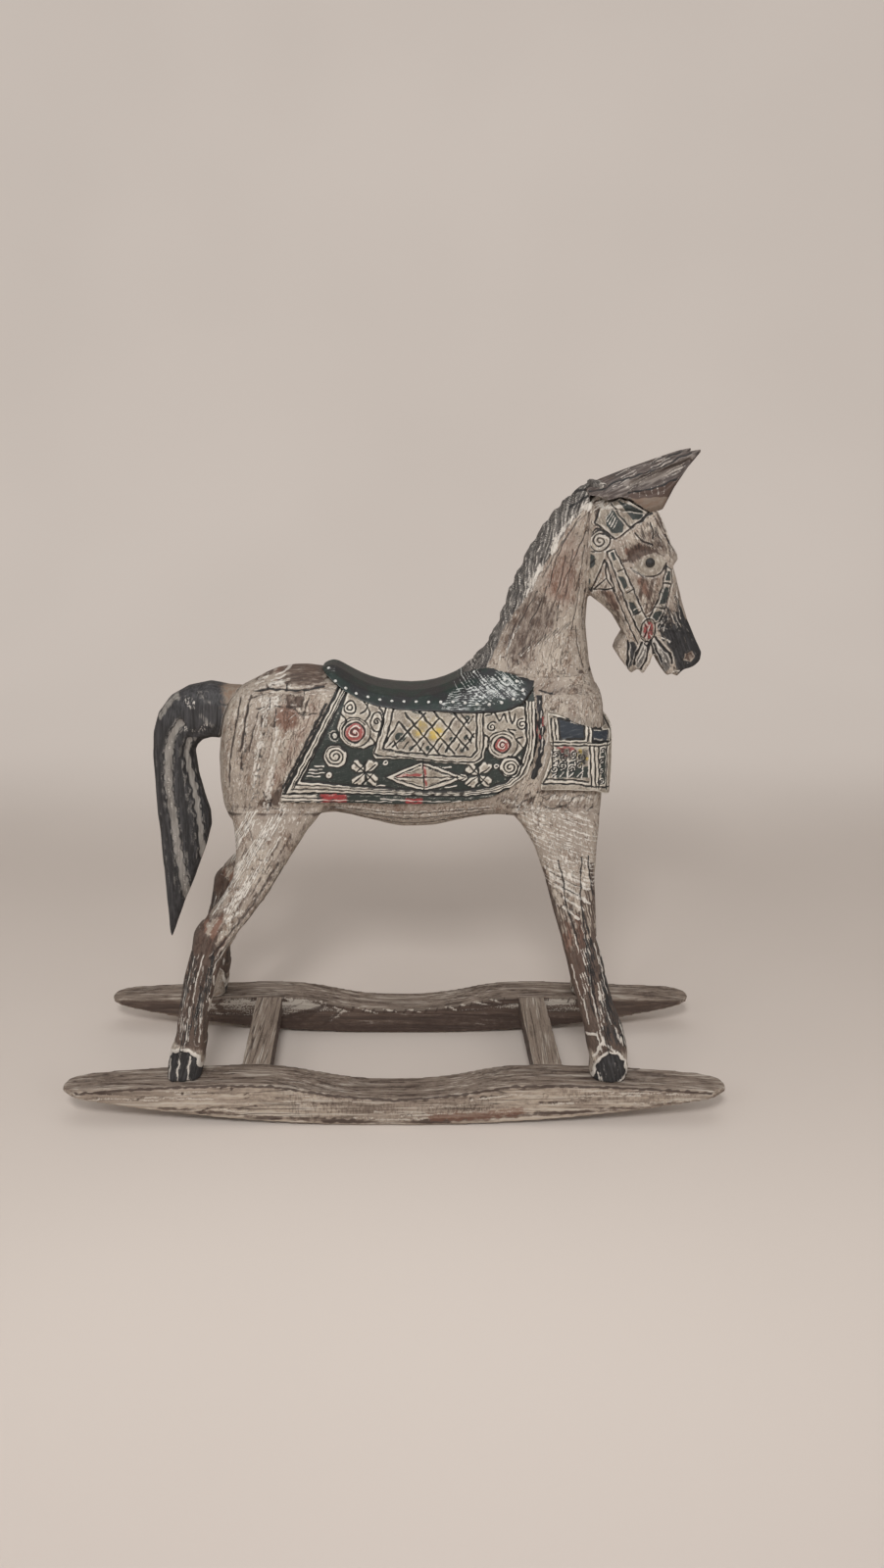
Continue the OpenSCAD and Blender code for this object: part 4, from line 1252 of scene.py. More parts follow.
def sink_eye(head):
    """A deep pocket between the brow and the eye, darkened as painted shade, and the eye within its lids"""
    fill(head, "pocket", [EYE_POCKET], 1, 5, on_sides)
    sink(head, "pocket", 3.4)
    fill(head, "orbit", [ring(218, 494, 5.5)], 1, 1.5, on_sides)
    sink(head, "orbit", 1.8)
    carve(head, [flowing(EYE[:6])], 2.0, 1.0, "lined", 0.7, on_sides)
    fill(head, "creamed", [EYE], 0.8, 1.2, on_sides)
    brush(head, "chalked", curves([(203, 489), (208, 485.5), (214, 483)]), 2.0, 1.0, on_sides)
    # Painted shade under the brow: the pocket and a line over the eye are darkened
    fill(head, "stain_and_shade", [EYE_POCKET], 0.85, 3, on_sides)
    brush(head, "stain_and_shade", curves([(196, 496), (207, 499), (214, 502), (222, 504)]), 4, 1.0, on_sides)


def stain_cheek(head):
    """Stains and fine scratches round the eye and down the cheek"""
    brush(head, "stain_and_shade", curves([(214, 480), (218, 472), (220, 460), (216, 450)]), 10, 0.5, on_sides)
    brush(head, "stain_and_shade", curves([(178, 470), (188, 458), (199, 442)]), 10, 0.5, on_sides)
    brush(head, "stain_and_shade", [flowing([(206, 500), (224, 508), (238, 502)]), [(240, 484), (246, 462)]], 16,
        0.4, on_sides)
    scratch(head, "stain_and_shade", [(186, 500), (212, 482), (214, 446), (182, 470)], 22, 26, 20, 2.0, 0.6,
        on_sides)
    scratch(head, "lined", [(200, 486), (250, 490), (256, 452), (212, 446)], 24, 34, 12, 0.9, 0.5, on_sides)
    brush(head, "rubbed", [[(211, 479), (218, 468)], [(184, 468), (192, 456)], [(200, 503), (210, 507)]],
        9, 0.9, on_sides)
    brush(head, "lined",
        [[(200 + 2.4 * i, 511 - 0.5 * i), (201.5 + 2.4 * i, 505 - 0.5 * i)] for i in range(6)], 1.2, 0.7,
        on_sides)


def outline_headstall(head):
    """Dark outlines and cross cuts of the straps, the spiral at the temple and the brow line"""
    outlines = [closed(CROWN_STRAP), closed(CHEEK_STRAP), closed(NOSE_STRAP),
        flowing([(184, 543), (190, 534), (200, 523)]), flowing([(184, 514), (172, 522), (165, 512),
        (161, 496), (162, 482), (170, 469)]), ring(175, 512, 8.5), spiral(175, 512, 6.5, 1.6, 60),
        [(180, 497), (170, 470)], [(180, 497), (182, 481)], [(182, 481), (172, 471)],
        [(182, 481), (188, 472)], [(172, 471), (188, 472)], [(180, 497), (190, 470)],
        [(162, 488), (172, 497)], [(161, 502), (171, 503)], [(191, 487), (196, 490)],
        [(199, 469), (205, 472)], [(206, 449), (213, 453)], [(230, 477), (237, 476)],
        [(224, 456), (234, 455)], flowing([(185, 477), (194, 460), (203, 441), (212, 424)]),
        flowing([(204, 519), (209, 513), (219, 509)]), flowing([(217, 527), (219, 521), (219, 514)]),
        flowing([(230, 517), (236, 508), (243, 501)])]
    carve(head, outlines, 1.7, 1.0, "lined", 0.9, on_sides)
    # Painted highlights: chalk lines set off to one side of the strap outlines
    brush(head, "chalked", [[(x + 1.5, z - 1) for x, z in line] for line in outlines[:8]], 1.2, 0.9,
        on_sides)
    brush(head, "lined", [[(200, 523), (218, 535)]], 2.8, 1.0, on_sides)
    brush(head, "stain_and_shade", [flowing([(218, 472), (219, 465), (222, 458)]), [(221, 530), (229, 516)]], 2.2,
        0.9, on_sides)
    brush(head, "chalked", [[(217, 449), (226, 456)], [(229, 478), (237, 477.5)], [(224, 458), (234, 457)],
        [(228, 460), (232, 474)], [(206, 454), (213, 457)], [(199, 472), (205, 475)]], 1.4, 0.9, on_sides)


def paint_straps(head):
    """Dark painted patches sunk into the straps"""
    patches = [[(180, 533), (184, 539), (189, 533), (195, 525), (193, 519), (185, 519), (180, 525)],
        [(189, 545), (196, 543), (210, 536), (211, 531), (202, 529), (196, 536)],
        [(164, 502), (171, 500), (172, 493), (169, 489), (163, 492)], [(164, 483), (169, 480), (168, 474)],
        [(232, 488), (236, 486), (236, 479), (232, 479)], [(230, 474), (236, 473), (235, 460), (228, 459)],
        [(223, 452), (230, 453), (231, 450), (227, 444), (223, 447)], [(191, 483), (196, 483), (200, 475),
        (197, 472)], [(184, 503), (187, 503), (189, 497), (187, 496)], [(201, 461), (206, 461), (211, 452),
        (206, 450)]]
    fill(head, "inked", patches, 1, 0.8, on_sides)
    sink(head, "inked", 0.5)
    hatching = [[(179.5 + 1.5 * i, 530 - 2.0 * i), (184 + 1.2 * i, 538 - 2.2 * i)] for i in range(5)]
    brush(head, "chalked", hatching, 1.3, 0.9, on_sides)


def carve_bit_rose(head):
    """A red oval boss where the cheek and nose straps meet"""
    for layer in ("lined", "inked", "chalked", "stain_and_shade"):
        fill(head, layer, [ring(220, 436, 6.6, 1.55)], 0, 0.8)
    fill(head, "rosy", [ring(220, 436, 4.7, 1.7)], 0.85, 0.8, on_sides)
    scratch(head, "stain_and_shade", [(216, 442), (224, 442), (224, 430), (216, 430)], 20, 6, 8, 1.4, 0.8)
    carve(head, [ring(220, 436, 6.4, 1.6), ring(220.5, 424.5, 2.2),
        flowing([(217, 442), (219, 436), (217, 430)])], 1.5, 0.9, "lined", 0.9, on_sides)
    carve(head, [flowing([(222, 442), (220, 437), (223, 431)]), ring(220, 436, 8, 1.45)[3:9]], 1.3, -0.7,
        "chalked", 0.85, on_sides)


def carve_lips(head):
    """Deep leaf cuts between the lips and the chin, in a dark muzzle"""
    leaves = [[(223, 427), (225, 420), (230, 408), (237, 398)], [(227, 430), (234, 421), (241, 414),
        (243, 407)], [(222, 425), (221, 413), (216, 400)], [(216, 425), (212, 415), (210, 405)],
        [(204, 427), (204, 417), (205, 402)], [(226, 424), (234, 408)]]
    carve(head, curves(*leaves), 2.6, 1.5, "lined", 0.95, on_sides)
    jaw = [(204, 426), (209, 427), (213, 420), (210, 406), (206, 400), (203, 406), (206, 414), (203, 420)]
    fill(head, "blackened", [jaw], 0.7, 1.5)
    muzzle = [(230, 436), (238, 442), (252, 443), (262, 436), (280, 424), (280, 390), (256, 388),
        (247, 396), (243, 408), (235, 424)]
    fill(head, "blackened", [muzzle], 0.7, 6)
    fill(head, "stain_and_shade", [[(231, 454), (238, 462), (247, 468), (264, 432), (230, 437)]], 0.5, 7)
    scratch(head, "lined", [(232, 452), (250, 462), (262, 434), (230, 434)], -24, 36, 16, 1.5, 0.75,
        on_sides)
    scratch(head, "blackened", [(228, 444), (256, 452), (262, 436), (232, 428)], -24, 26, 14, 2.6, 0.75,
        on_sides)


def scratch_face(head):
    """Stains of the brow and jaw, with knife scratches along the nose"""
    fill(head, "stain_and_shade", [[(204, 522), (222, 526), (240, 502), (232, 498), (206, 500)]], 0.58, 6)
    fill(head, "stain_and_shade", [[(172, 474), (188, 472), (203, 442), (194, 440)]], 0.62, 5)
    scratch(head, "stain_and_shade", [(206, 484), (226, 482), (222, 448), (214, 448)], 6, 18, 18, 2.6, 0.7, on_sides)
    scratch(head, "lined", [(206, 522), (226, 524), (238, 502), (208, 504)], -20, 22, 8, 1.1, 0.6, on_sides)
    scratch(head, "chalked", [(212, 520), (230, 520), (238, 504), (220, 504)], -30, 10, 7, 1.1, 0.8,
        on_sides)
    fill(head, "greyed", [[(223, 427), (229, 429), (241, 414), (242, 402), (237, 398), (226, 418)],
        [(222, 424), (220, 412), (216, 400), (211, 405), (216, 425)]], 0.75, 1.2)
    brush(head, "stain_and_shade", curves([(228, 532), (236, 516), (243, 502)]), 9, 0.95)
    brush(head, "chalked", [[(232, 524), (238, 508)], [(236, 510), (241, 503)]], 1.6, 0.8)


def carve_nostril(head):
    """The sunk nostril, and chalk lines down the muzzle"""
    nostril = [(254, 415), (260, 416), (263.5, 412), (259, 407.5), (253.5, 410)]
    fill(head, "nostril", [nostril], 1, 2, on_sides)
    sink(head, "nostril", 1.6)
    fill(head, "blackened", [nostril], 0, 1)
    fill(head, "stain_and_shade", [nostril], 0.68, 0.8)
    brush(head, "chalked", [[(234, 446), (228, 434)], [(237, 449), (233, 434)], [(238, 452), (246, 438)],
        [(241, 452), (248, 440)], [(243, 470), (248, 446)], [(250, 466), (262, 436)],
        [(246, 474), (258, 446)], [(228, 426), (238, 408)], [(219, 422), (214, 408)],
        [(244, 398), (250, 400)], [(232, 430), (240, 426)]], 2.2, 0.8)
    carve(head, [[(230, 440), (246, 440), (260, 428)]], 5, 0.8, "", 1, on_sides)


def clear_tuft(head):
    """Bare chalked wood between the mane and the ear"""
    tuft = [(160, 536), (168, 546), (178, 552), (188, 550), (184, 543), (173, 539)]
    for layer in ("lined", "greyed"):
        fill(head, layer, [tuft], 0, 1.5)
    scratch(head, "chalked", [(164, 546), (186, 552), (186, 542), (166, 536)], 60, 14, 10, 1.5, 1.0)


def carve_head(head):
    carve_mane(head)
    swell_crown(head)
    raise_headstall(head)
    sink_eye(head)
    stain_cheek(head)
    outline_headstall(head)
    paint_straps(head)
    carve_bit_rose(head)
    carve_lips(head)
    scratch_face(head)
    carve_nostril(head)
    clear_tuft(head)


# ---------------------------------------------------------------- ears and tail


def crease_ear(ear):
    """Long creases and worn grey paint"""
    creases = curves([(164, 552), (176, 554), (186, 560), (196, 563), (209, 567), (225, 572), (236, 579),
        (247, 583)], [(166, 560), (174, 563), (188, 565.5), (197, 569), (212, 574)])
    brush(ear, "greyed", curves([(172, 546), (204, 560), (228, 570), (250, 583)]), 44, 0.5)
    carve(ear, creases, 2.4, 0.9, "lined", 0.8, on_sides)
    brush(ear, "stain_and_shade", curves([(176, 560), (200, 570), (224, 577)], [(228, 574), (244, 582)]), 6, 0.55)
    brush(ear, "greyed", curves([(195, 558), (204, 560), (215, 562), (227, 566), (237, 570)]), 9, 1.0)
    brush(ear, "stain_and_shade", curves([(172, 550), (204, 562), (228, 571), (250, 583)]), 60, 0.4)
    brush(ear, "chalked", [flowing([(212, 566), (222, 569)]), [(226, 562), (236, 569)],
        [(192, 556), (202, 557)], flowing([(229, 574), (238, 578)]), [(238, 568), (241, 574)]], 4, 0.5)
    scratch(ear, "chalked", [(184, 562), (240, 582), (240, 566), (188, 552)], 64, 44, 9, 1.2, 0.8)
    scratch(ear, "lined", [(176, 560), (240, 584), (242, 568), (186, 550)], 64, 36, 12, 1.2, 0.6)
    brush(ear, "lined", [[(232, 551), (246, 571), (253, 583)]], 3, 0.6)


def paint_ear_band(ear):
    """A brown band along the lower edge, over a cream lobe"""
    band = [(197, 551), (203, 552), (213, 553.5), (222, 556), (231, 560), (236, 563), (239, 560),
        (230, 547.5), (221, 548.5), (213, 547.5), (203, 547), (197, 547)]
    lobe = [(198, 547), (203, 547), (213, 547.5), (221, 548.5), (231, 549), (226, 533), (214, 533)]
    fill(ear, "stain_and_shade", [band], 1.1, 1)
    fill(ear, "greyed", [band, lobe], 0, 1)
    fill(ear, "creamed", [lobe], 0.95, 1)
    brush(ear, "stain_and_shade", [[(204, 545), (214, 541)], [(208, 541), (218, 537)]], 7, 0.4)
    brush(ear, "chalked", [[(201 + 5 * i, 548 + 0.5 * i), (201.5 + 5 * i, 552.5 + i)] for i in range(6)],
        1.0, 0.8)
    carve(ear, curves([(196, 551.5), (209, 553), (222, 556), (236, 562.5)]), 1.6, 0.6, "lined", 1)


def make_ears():
    ear = block("ear_right", ("ear_right",), voxel=0.8, rounds=16)
    cut_with(ear, cutter_from(EAR_SEAT, -80, 0))
    crease_ear(ear)
    paint_ear_band(ear)
    feel_edges(ear)
    finish = charred("charcoal_ears", 66, 0.32)
    settle(ear, finish, "charcoal_wood", "ear_right")
    settle(other_side(ear, "ear_left"), finish, "charcoal_wood", "ear_left")


def groove_tail(tail):
    """Two broad pale grooves run down the hanging hair from the knot, between dark ridges"""
    grooves = curves([(-186, 354), (-195, 342), (-200, 324), (-202, 304), (-202, 282), (-200, 259),
        (-198, 225), (-194, 180)], [(-180, 338), (-184, 327), (-183, 308), (-180, 291), (-178, 270),
        (-177, 246), (-178, 222)])
    carve(tail, grooves, 9, 1.6, "", 1, on_sides)
    carve(tail, curves([(-210, 330), (-211, 290), (-210, 240), (-206, 190)],
        [(-191, 320), (-190, 290), (-188, 250), (-188, 190)]), 4, 0.8, "", 1, on_sides)
    brush(tail, "greyed", [grooves[0]], 8.5, 1.5)
    brush(tail, "greyed", [grooves[1]], 6, 1.2)
    brush(tail, "chalked", [grooves[0][8:]], 4, 0.4)
    ridges = [flowing([(x + shift, z) for x, z in grooves[0][::12]]) for shift in (-9, 11)]
    brush(tail, "lined", ridges, 9, 0.55)
    for groove, half in zip(grooves, (4.6, 3.6)):
        edges = [[(x + side * half, z) for x, z in groove] for side in (-1, 1)]
        brush(tail, "lined", edges, 2.0, 0.8)


def paint_tail_root(tail):
    """Chalk on the knot, and bare wood where the tail leaves the rump"""
    brush(tail, "chalked", [ring(-178, 371, 4)[:9], [(-181, 373), (-175, 368)]], 6, 0.55, on_sides)
    brush(tail, "chalked", curves([(-186, 350), (-173, 346), (-162, 353)]), 7, 0.42)
    brush(tail, "greyed", curves([(-207, 358), (-199, 369), (-190, 376)]), 9, 0.8)
    brush(tail, "greyed", [[(-170, 380), (-160, 372)], [(-168, 360), (-160, 350)]], 9, 0.5)
    fill(tail, "creamed", [[(-152, 400), (-100, 400), (-100, 340), (-136, 344), (-146, 362)]], 1, 9)
    carve(tail, curves([(-152, 372), (-144, 370), (-138, 375), (-128, 384)]), 1.8, 0.6, "lined", 0.7)


def make_tail():
    tail = block("tail", ("tail",), voxel=1.2, rounds=8)
    groove_tail(tail)
    paint_tail_root(tail)
    whittle(tail, 26, 0.8)
    feel_edges(tail)
    settle(tail, charred("charcoal_tail", 3), "charcoal_wood", "tail")


# ---------------------------------------------------------------- saddle and tack


def make_saddle():
    """A worn green seat with chalked hatching on the front of its flaps"""
    saddle = block("saddle", ("saddle",), voxel=0.9, rounds=9)
    flat = [[(43 + 1.2 * i, 375.5 + 1.5 * i), (84 - 1.4 * i, 375.5 + 2.0 * i)] for i in range(9)]
    steep = [[(69 + 2.9 * i, 390 + 1.5 * i), (84 + 2.9 * i + i % 3, 377 + 1.3 * i)] for i in range(11)]
    steep += [[(76 + 3.4 * i, 400), (82 + 3.6 * i, 394 - i % 2)] for i in range(10)]
    carve(saddle, flat, 1.0, 0.3, "chalked", 0.85)
    carve(saddle, steep, 1.1, 0.3, "chalked", 0.85)
    scratch(saddle, "chalked", [(62, 404), (112, 398), (112, 384), (56, 378)], 128, 40, 14, 0.9, 0.9)
    brush(saddle, "chalked", [[(74, 390), (100, 380)], [(80, 398), (108, 388)]], 10, 0.25)
    brush(saddle, "chalked", [[(42, 378), (58, 378.5)], [(43, 374), (80, 374)]], 1.2, 0.9)
    brush(saddle, "chalked", [[(-60, 400), (-52, 402)]], 8, 0.4)
    brush(saddle, "lined", curves(SADDLE_RIM), 3, 0.9)
    feel_edges(saddle)
    settle(saddle, saddle_paint(), "saddle_paint", "saddle")
    add_studs(saddle)


def make_stud(place, facing):
    """A low round head that faces away from the flap"""
    bpy.ops.object.select_all(action="DESELECT")
    bpy.ops.mesh.primitive_uv_sphere_add(segments=10, ring_count=6, radius=1.5 * MM, location=place)
    stud = bpy.context.object
    stud.rotation_euler = facing.to_track_quat("Z", "Y").to_euler()
    stud.scale = (1, 1, 0.6)
    bpy.ops.object.transform_apply()
    stud.name = "saddle_stud"
    return stud


def add_studs(saddle):
    """Round studs seated on both flaps, evenly along the lower edge"""
    edge = flowing(STUD_LINE, 0.5)
    run = distances_along(edge)
    spots = [edge[int(np.searchsorted(run, reach))] for reach in np.arange(0, run[-1], STUD_PITCH)]
    spots += [(107, 396), (97, 398), (71, 401)]
    studs = []
    for x, z in spots:
        for side in (-1, 1):
            start = Vector((x * MM, side * 0.09, z * MM))
            hit, place, facing, _ = saddle.ray_cast(start, Vector((0, -side, 0)))
            if hit:
                studs.append(make_stud(place, facing))
    pick(*studs)
    bpy.ops.object.join()
    row = bpy.context.object
    row.name = row.data.name = "saddle_studs"
    settle(row, stud_paint(), "saddle_paint")


def sink_grounds(cloth):
    """Cuts the grounds away and paints them, which leaves the ornament standing"""
    fill(cloth, "sunk", [box(-120, 270, 140, 400)])
    fill(cloth, "sunk", [CLOTH_EDGE], 0)
    fill(cloth, "sunk", [CLOTH_FIELD])
    kept = [POCKET, LOZENGE, UPPER_LEFT, UPPER_RIGHT, ring(-48, 333, 10.5), ring(102, 323, 9.5),
        ring(-54, 316, 2.6), ring(61, 314, 4.6, 0.8)]
    kept += [ring(x, z, out) for (x, z), _, out in ROSETTES]
    leaf = ((0.1, 0), (0.5, 2.6), (0.9, 2.2), (1.0, 0), (0.9, -2.2), (0.5, -2.6))
    for x, z in LEAF_CROSSES:
        for angle in (40, 62, 128, 150, 220, 242, 308, 330):
            c, d = math.cos(math.radians(angle)), math.sin(math.radians(angle))
            reach = 14.5 if angle in (40, 128, 220, 308) else 13
            kept.append([(x + t * c * reach + w * -d, z + t * d * reach + w * c) for t, w in leaf])
    fill(cloth, "sunk", kept, 0)
    sink(cloth, "sunk", 1.3)


def cut_frame(cloth):
    """Double lines round the frame and the pocket"""

    def between_lines(part):
        pairs = zip(CLOTH_EDGE, CLOTH_FIELD)
        return [(ax + (bx - ax) * part, az + (bz - az) * part) for (ax, az), (bx, bz) in pairs]

    cut_lines(cloth, [between_lines(0.0), between_lines(1.0)], 2.4)
    cut_lines(cloth, [between_lines(0.38), between_lines(0.7)], 1.5, 0.8, 0.8)
    cut_lines(cloth, [[(-42, 380), (-64, 341), (-86, 303)]], 1.5, 0.8, 0.85)
    pocket_line = [(-4, 376), (-15, 336), (-11, 333), (14, 332), (44, 328), (71, 327.5), (77, 332),
        (79, 344), (78, 376)]
    pocket_inner = [(3, 376), (-3, 353), (-7, 340), (5, 337), (47, 333), (69, 332.5), (73, 338), (73, 376)]
    cut_lines(cloth, [pocket_line, pocket_inner], 2.1)
    cut_lines(cloth, [[(-1, 376), (-11, 339), (10, 335), (46, 330.5), (70, 330), (76, 337), (76, 376)]],
        1.2, 0.5, 0.5)


def paint_bands(cloth):
    """Painted bands below the frame, up its rear edge and in front"""
    fill(cloth, "sunk", [[(-66, 297), (-36, 296), (26, 294), (92, 297), (100, 280), (-66, 280)]], 1, 0.6)
    fill(cloth, "sunk", [[(-100, 299), (-66, 299), (-66, 280), (-100, 280)]], 0, 0.6)
    cut_lines(cloth, [[(-95, 298.5), (-66, 298)], [(-95, 295), (-60, 294)], [(-95, 291.5), (-60, 291)]], 1.3)
    brush(cloth, "chalked", [[(-66, 292.5), (-36, 291.5), (0, 290)],
        [(-10, 293), (30, 290.5), (60, 290.5)]], 1.6, 0.85)
    fill(cloth, "red_scraps", [box(-62, 290, -40, 300), box(12, 287, 26, 293), box(122, 350, 130, 364)],
        1.4, 1)
    fill(cloth, "sunk", [[(-49, 389), (-60, 389), (-110, 299), (-96, 299)]], 0, 0.6)
    cut_lines(cloth, [[(-52, 389), (-66, 356), (-83, 325), (-97, 299)]], 1.8, 0.8, 1.1)


def cut_lattice(cloth):
    """The lattice of the pocket, with small sunk fields and touches of ochre"""
    fill(cloth, "ochre", [ring(39, 353, 7), ring(24, 354, 4)], 1.0, 4)
    fill(cloth, "ochre", [[(10, 369), (46, 370), (46, 345), (18, 345)], ring(61, 360, 4)], 0.5, 5)
    fill(cloth, "sunk", [ring(8, 350, 4.8, 0.9), ring(17, 340, 2.3), ring(32, 340, 2.5),
        ring(48, 339, 2.4), ring(61, 339, 2.4), ring(52, 348, 2.6), ring(64, 350, 2.2),
        ring(-2, 345, 1.6)])
    fill(cloth, "sunk", [[(14, 374), (30, 374), (27, 369), (18, 370)], [(46, 373), (60, 373), (54, 367)],
        ring(65, 366, 2.6)], 0.8, 1)
    cut_lines(cloth, [[(7, 363), (29, 335)], [(12, 370), (41, 335)], [(24, 372), (54, 335)],
        [(36, 372), (66, 339)], [(52, 372), (71, 350)], [(7, 363), (-6, 344)], [(29, 370), (1, 341)],
        [(41, 366), (16, 338)], [(54, 366), (32, 336)], [(66, 366), (46, 337)], [(71, 353), (60, 337)]],
        1.9, 1.0, 1.0)
    cut_lines(cloth, [[(-4, 341), (2, 347), (6, 340)], [(10, 340), (15, 346)], [(24, 338), (28, 344)],
        [(40, 338), (43, 344)], [(55, 338), (58, 344)], [(60, 370), (66, 362), (70, 368)],
        [(68, 345), (64, 352)]], 1.3)


def cut_rosettes(cloth):
    """Red rosettes, each with a raised spiral"""
    for (x, z), radius, out in ROSETTES:
        fill(cloth, "rosy", [ring(x, z, radius)])
        cut_lines(cloth, [ring(x, z, radius)], 2.0)
        cut_lines(cloth, [ring(x, z, out, 0.95), ring(x, z, (radius + out) / 2)[2:15]], 1.5, 0.7, 0.8)
        carve(cloth, [spiral(x, z, radius - 2.4, 1.4, 40), ring(x, z, 0.8)], 1.5, -0.9, "chalked", 0.9)


def cut_curls(cloth):
    """Spirals, rings and small curls that fill the corners"""
    cut_lines(cloth, [spiral(-48, 333, 9.5, 2.4, 30), spiral(102, 323, 8.2, 2.2, 200),
        spiral(112, 361, 5.5, 1.7, 90), ring(-35, 375, 5), ring(-35, 375, 2), ring(-12, 363, 5.2, 1.6),
        spiral(-12, 363, 3.4, 1.3, 0), ring(-48, 351, 3), spiral(86, 359, 4.6, 1.6, 40),
        ring(-48, 333, 10.6), ring(102, 323, 9.6)], 1.6)
    cut_lines(cloth, curves([(-30, 384), (-22, 378), (-18, 370), (-22, 364)],
        [(-43, 370), (-38, 364), (-42, 357)], [(-18, 350), (-14, 344), (-20, 340)],
        [(-26, 370), (-22, 372), (-20, 378)], [(80, 352), (84, 349), (82, 338)],
        [(88, 372), (92, 364), (96, 370), (99, 363)], [(100, 372), (103, 362), (106, 370)],
        [(112, 350), (107, 348), (113, 341)], [(81, 368), (86, 370), (84, 375)],
        [(100, 333), (108, 331), (113, 325)], [(-10, 374), (-6, 366), (-10, 352)],
        [(104, 352), (100, 357), (106, 356)]), 1.6)


def cut_leaf_crosses(cloth):
    """Ribs of the leaf crosses, the lozenge and the hatching round it"""
    for x, z in LEAF_CROSSES:
        cut_lines(cloth, [[(x - 9, z + 9), (x + 9, z - 9)], [(x + 9, z + 7), (x - 10, z - 9)],
            [(x - 9, z - 1), (x + 1, z + 9)], [(x - 2, z - 10), (x + 8, z)]], 1.6)
    cut_lines(cloth, [closed(LOZENGE), [(2, 314.5), (14, 320), (25, 325)],
        [(28, 325), (42, 319), (55, 314)], [(2, 313), (14, 309), (27, 304)],
        [(29, 304), (42, 309), (54, 313)], ring(61, 314, 4.4, 0.8)], 1.5)
    cut_lines(cloth, [[(27, 328), (28, 302)], [(4, 314), (58, 314)]], 1.4, 0.8, 0.85)
    brush(cloth, "rosy", [[(28.5, 326), (29.5, 304)], [(4, 315.5), (25, 316.5)]], 2.4, 1.4)
    cut_lines(cloth, [[(32, 322), (48, 316)], [(32, 307), (48, 312)], [(8, 312), (24, 308)],
        [(10, 317), (24, 321)]], 1.1, 0.5, 0.6)
    carve(cloth, [[(-71, 321), (-60, 321)], [(-72, 318), (-58, 318)], [(-73, 315), (-62, 315)],
        [(-66, 324), (-58, 324)], ring(-54, 316, 2), ring(-5, 327, 1.6), ring(90, 324, 1.6),
        [(38, 323), (52, 323)], [(-14, 306), (-6, 306)], [(46, 304), (56, 306)]], 1.4, -0.8, "chalked",
        0.95)


def make_saddle_cloths():
    """Carved panels: a cream frame, a latticed pocket, rosettes, spirals, leaf crosses and a lozenge"""
    cloth = block("saddle_cloth_right", ("saddle_cloth_right",), voxel=0.75, rounds=3)
    sink_grounds(cloth)
    cut_frame(cloth)
    paint_bands(cloth)
    cut_lattice(cloth)
    cut_rosettes(cloth)
    cut_curls(cloth)
    cut_leaf_crosses(cloth)
    feel_edges(cloth)
    finish = tack_paint("carved_cloth_paint")
    settle(cloth, finish, "tack_paint", "saddle_cloth_right")
    settle(other_side(cloth, "saddle_cloth_left"), finish, "tack_paint", "saddle_cloth_left")


def quarter_turn(piece, way):
    """Turns a piece so that its front can be drawn on like a side, or turns it back"""
    pick(piece)
    piece.rotation_euler = (0, 0, math.radians(90 * way))
    bpy.ops.object.transform_apply(rotation=True)


def carve_plate_front(plate):
    """A frame with two dark squares over a rosette between spirals"""
    fields = [[(-26, 359), (-3, 361), (-3, 346), (-26, 345)], [(3, 361), (26, 359), (26, 345), (3, 346)]]

    def front(place, facing):
        return np.clip((facing[:, 1] - 0.45) / 0.2, 0, 1)

    fill(plate, "inked", fields, 1, 0.8, front)
    fill(plate, "sunk", [box(-27, 306, 27, 341)], 0.8, 1.5, front)
    leaves = [flowing([(0, 323), (5 * a, 323 + 9 * b), (9 * a, 323 + 9 * b), (9 * a, 323 + 5 * b), (0, 323)])
        for a in (-1, 1) for b in (-1, 1)]
    curls = [spiral(20 * a, z, 4.4, 1.6, 60) for a in (-1, 1) for z in (333, 314)]
    carve(plate, [*leaves, *curls, ring(0, 323, 13.5), box(-29, 304, 29, 343)], 1.7, -0.7, "chalked", 1,
        front)
    carve(plate, [closed(field) for field in fields] + [box(-31, 303, 31, 344), [(-31, 303), (-31, 344)],
        [(0, 318), (0, 328)], [(-5, 323), (5, 323)], ring(0, 323, 15.5)], 1.5, 0.9, "lined", 0.95, front)
    brush(plate, "rosy", [ring(0, 323, 1.5)], 3, 1.2, front)
    brush(plate, "ochre", [[(-12, 337), (-8, 339)], [(8, 339), (12, 337)]], 3, 1.2, front)


def frame_plate_side(plate):
    """Two dark squares over a sunk field, within double lines"""
    squares = [[(142, 366), (165, 361), (165, 348), (144, 348.5)], [(172, 357), (187, 353), (187, 343),
        (172, 346)]]
    fill(plate, "inked", squares)
    sink(plate, "inked", 1.2)

    cut_lines(plate, [closed(square) for square in squares], 1.6)
    cut_lines(plate, [[(138, 368), (158, 364), (190, 358)], [(136, 346), (168, 345), (190, 343)],
        [(137, 343), (168, 342.5), (190, 340)], [(136, 366), (138, 344), (138, 324), (131, 310)],
        [(139, 366), (141, 348)], [(168.5, 360), (168.5, 346)], [(189, 354), (189, 344)],
        [(130, 309), (158, 308.5), (176, 305), (192, 301)], [(134, 313), (158, 312), (170, 310)],
        [(170, 343), (173, 305)], [(174, 342), (177, 304)], [(186, 342), (187, 300)],
        [(178, 341), (180, 303)]])
    fill(plate, "sunk", [[(140, 341), (169, 340), (171, 313), (137, 314)],
        [(179, 340), (186, 340), (187, 305), (181, 306)]], 0.72, 1.5)


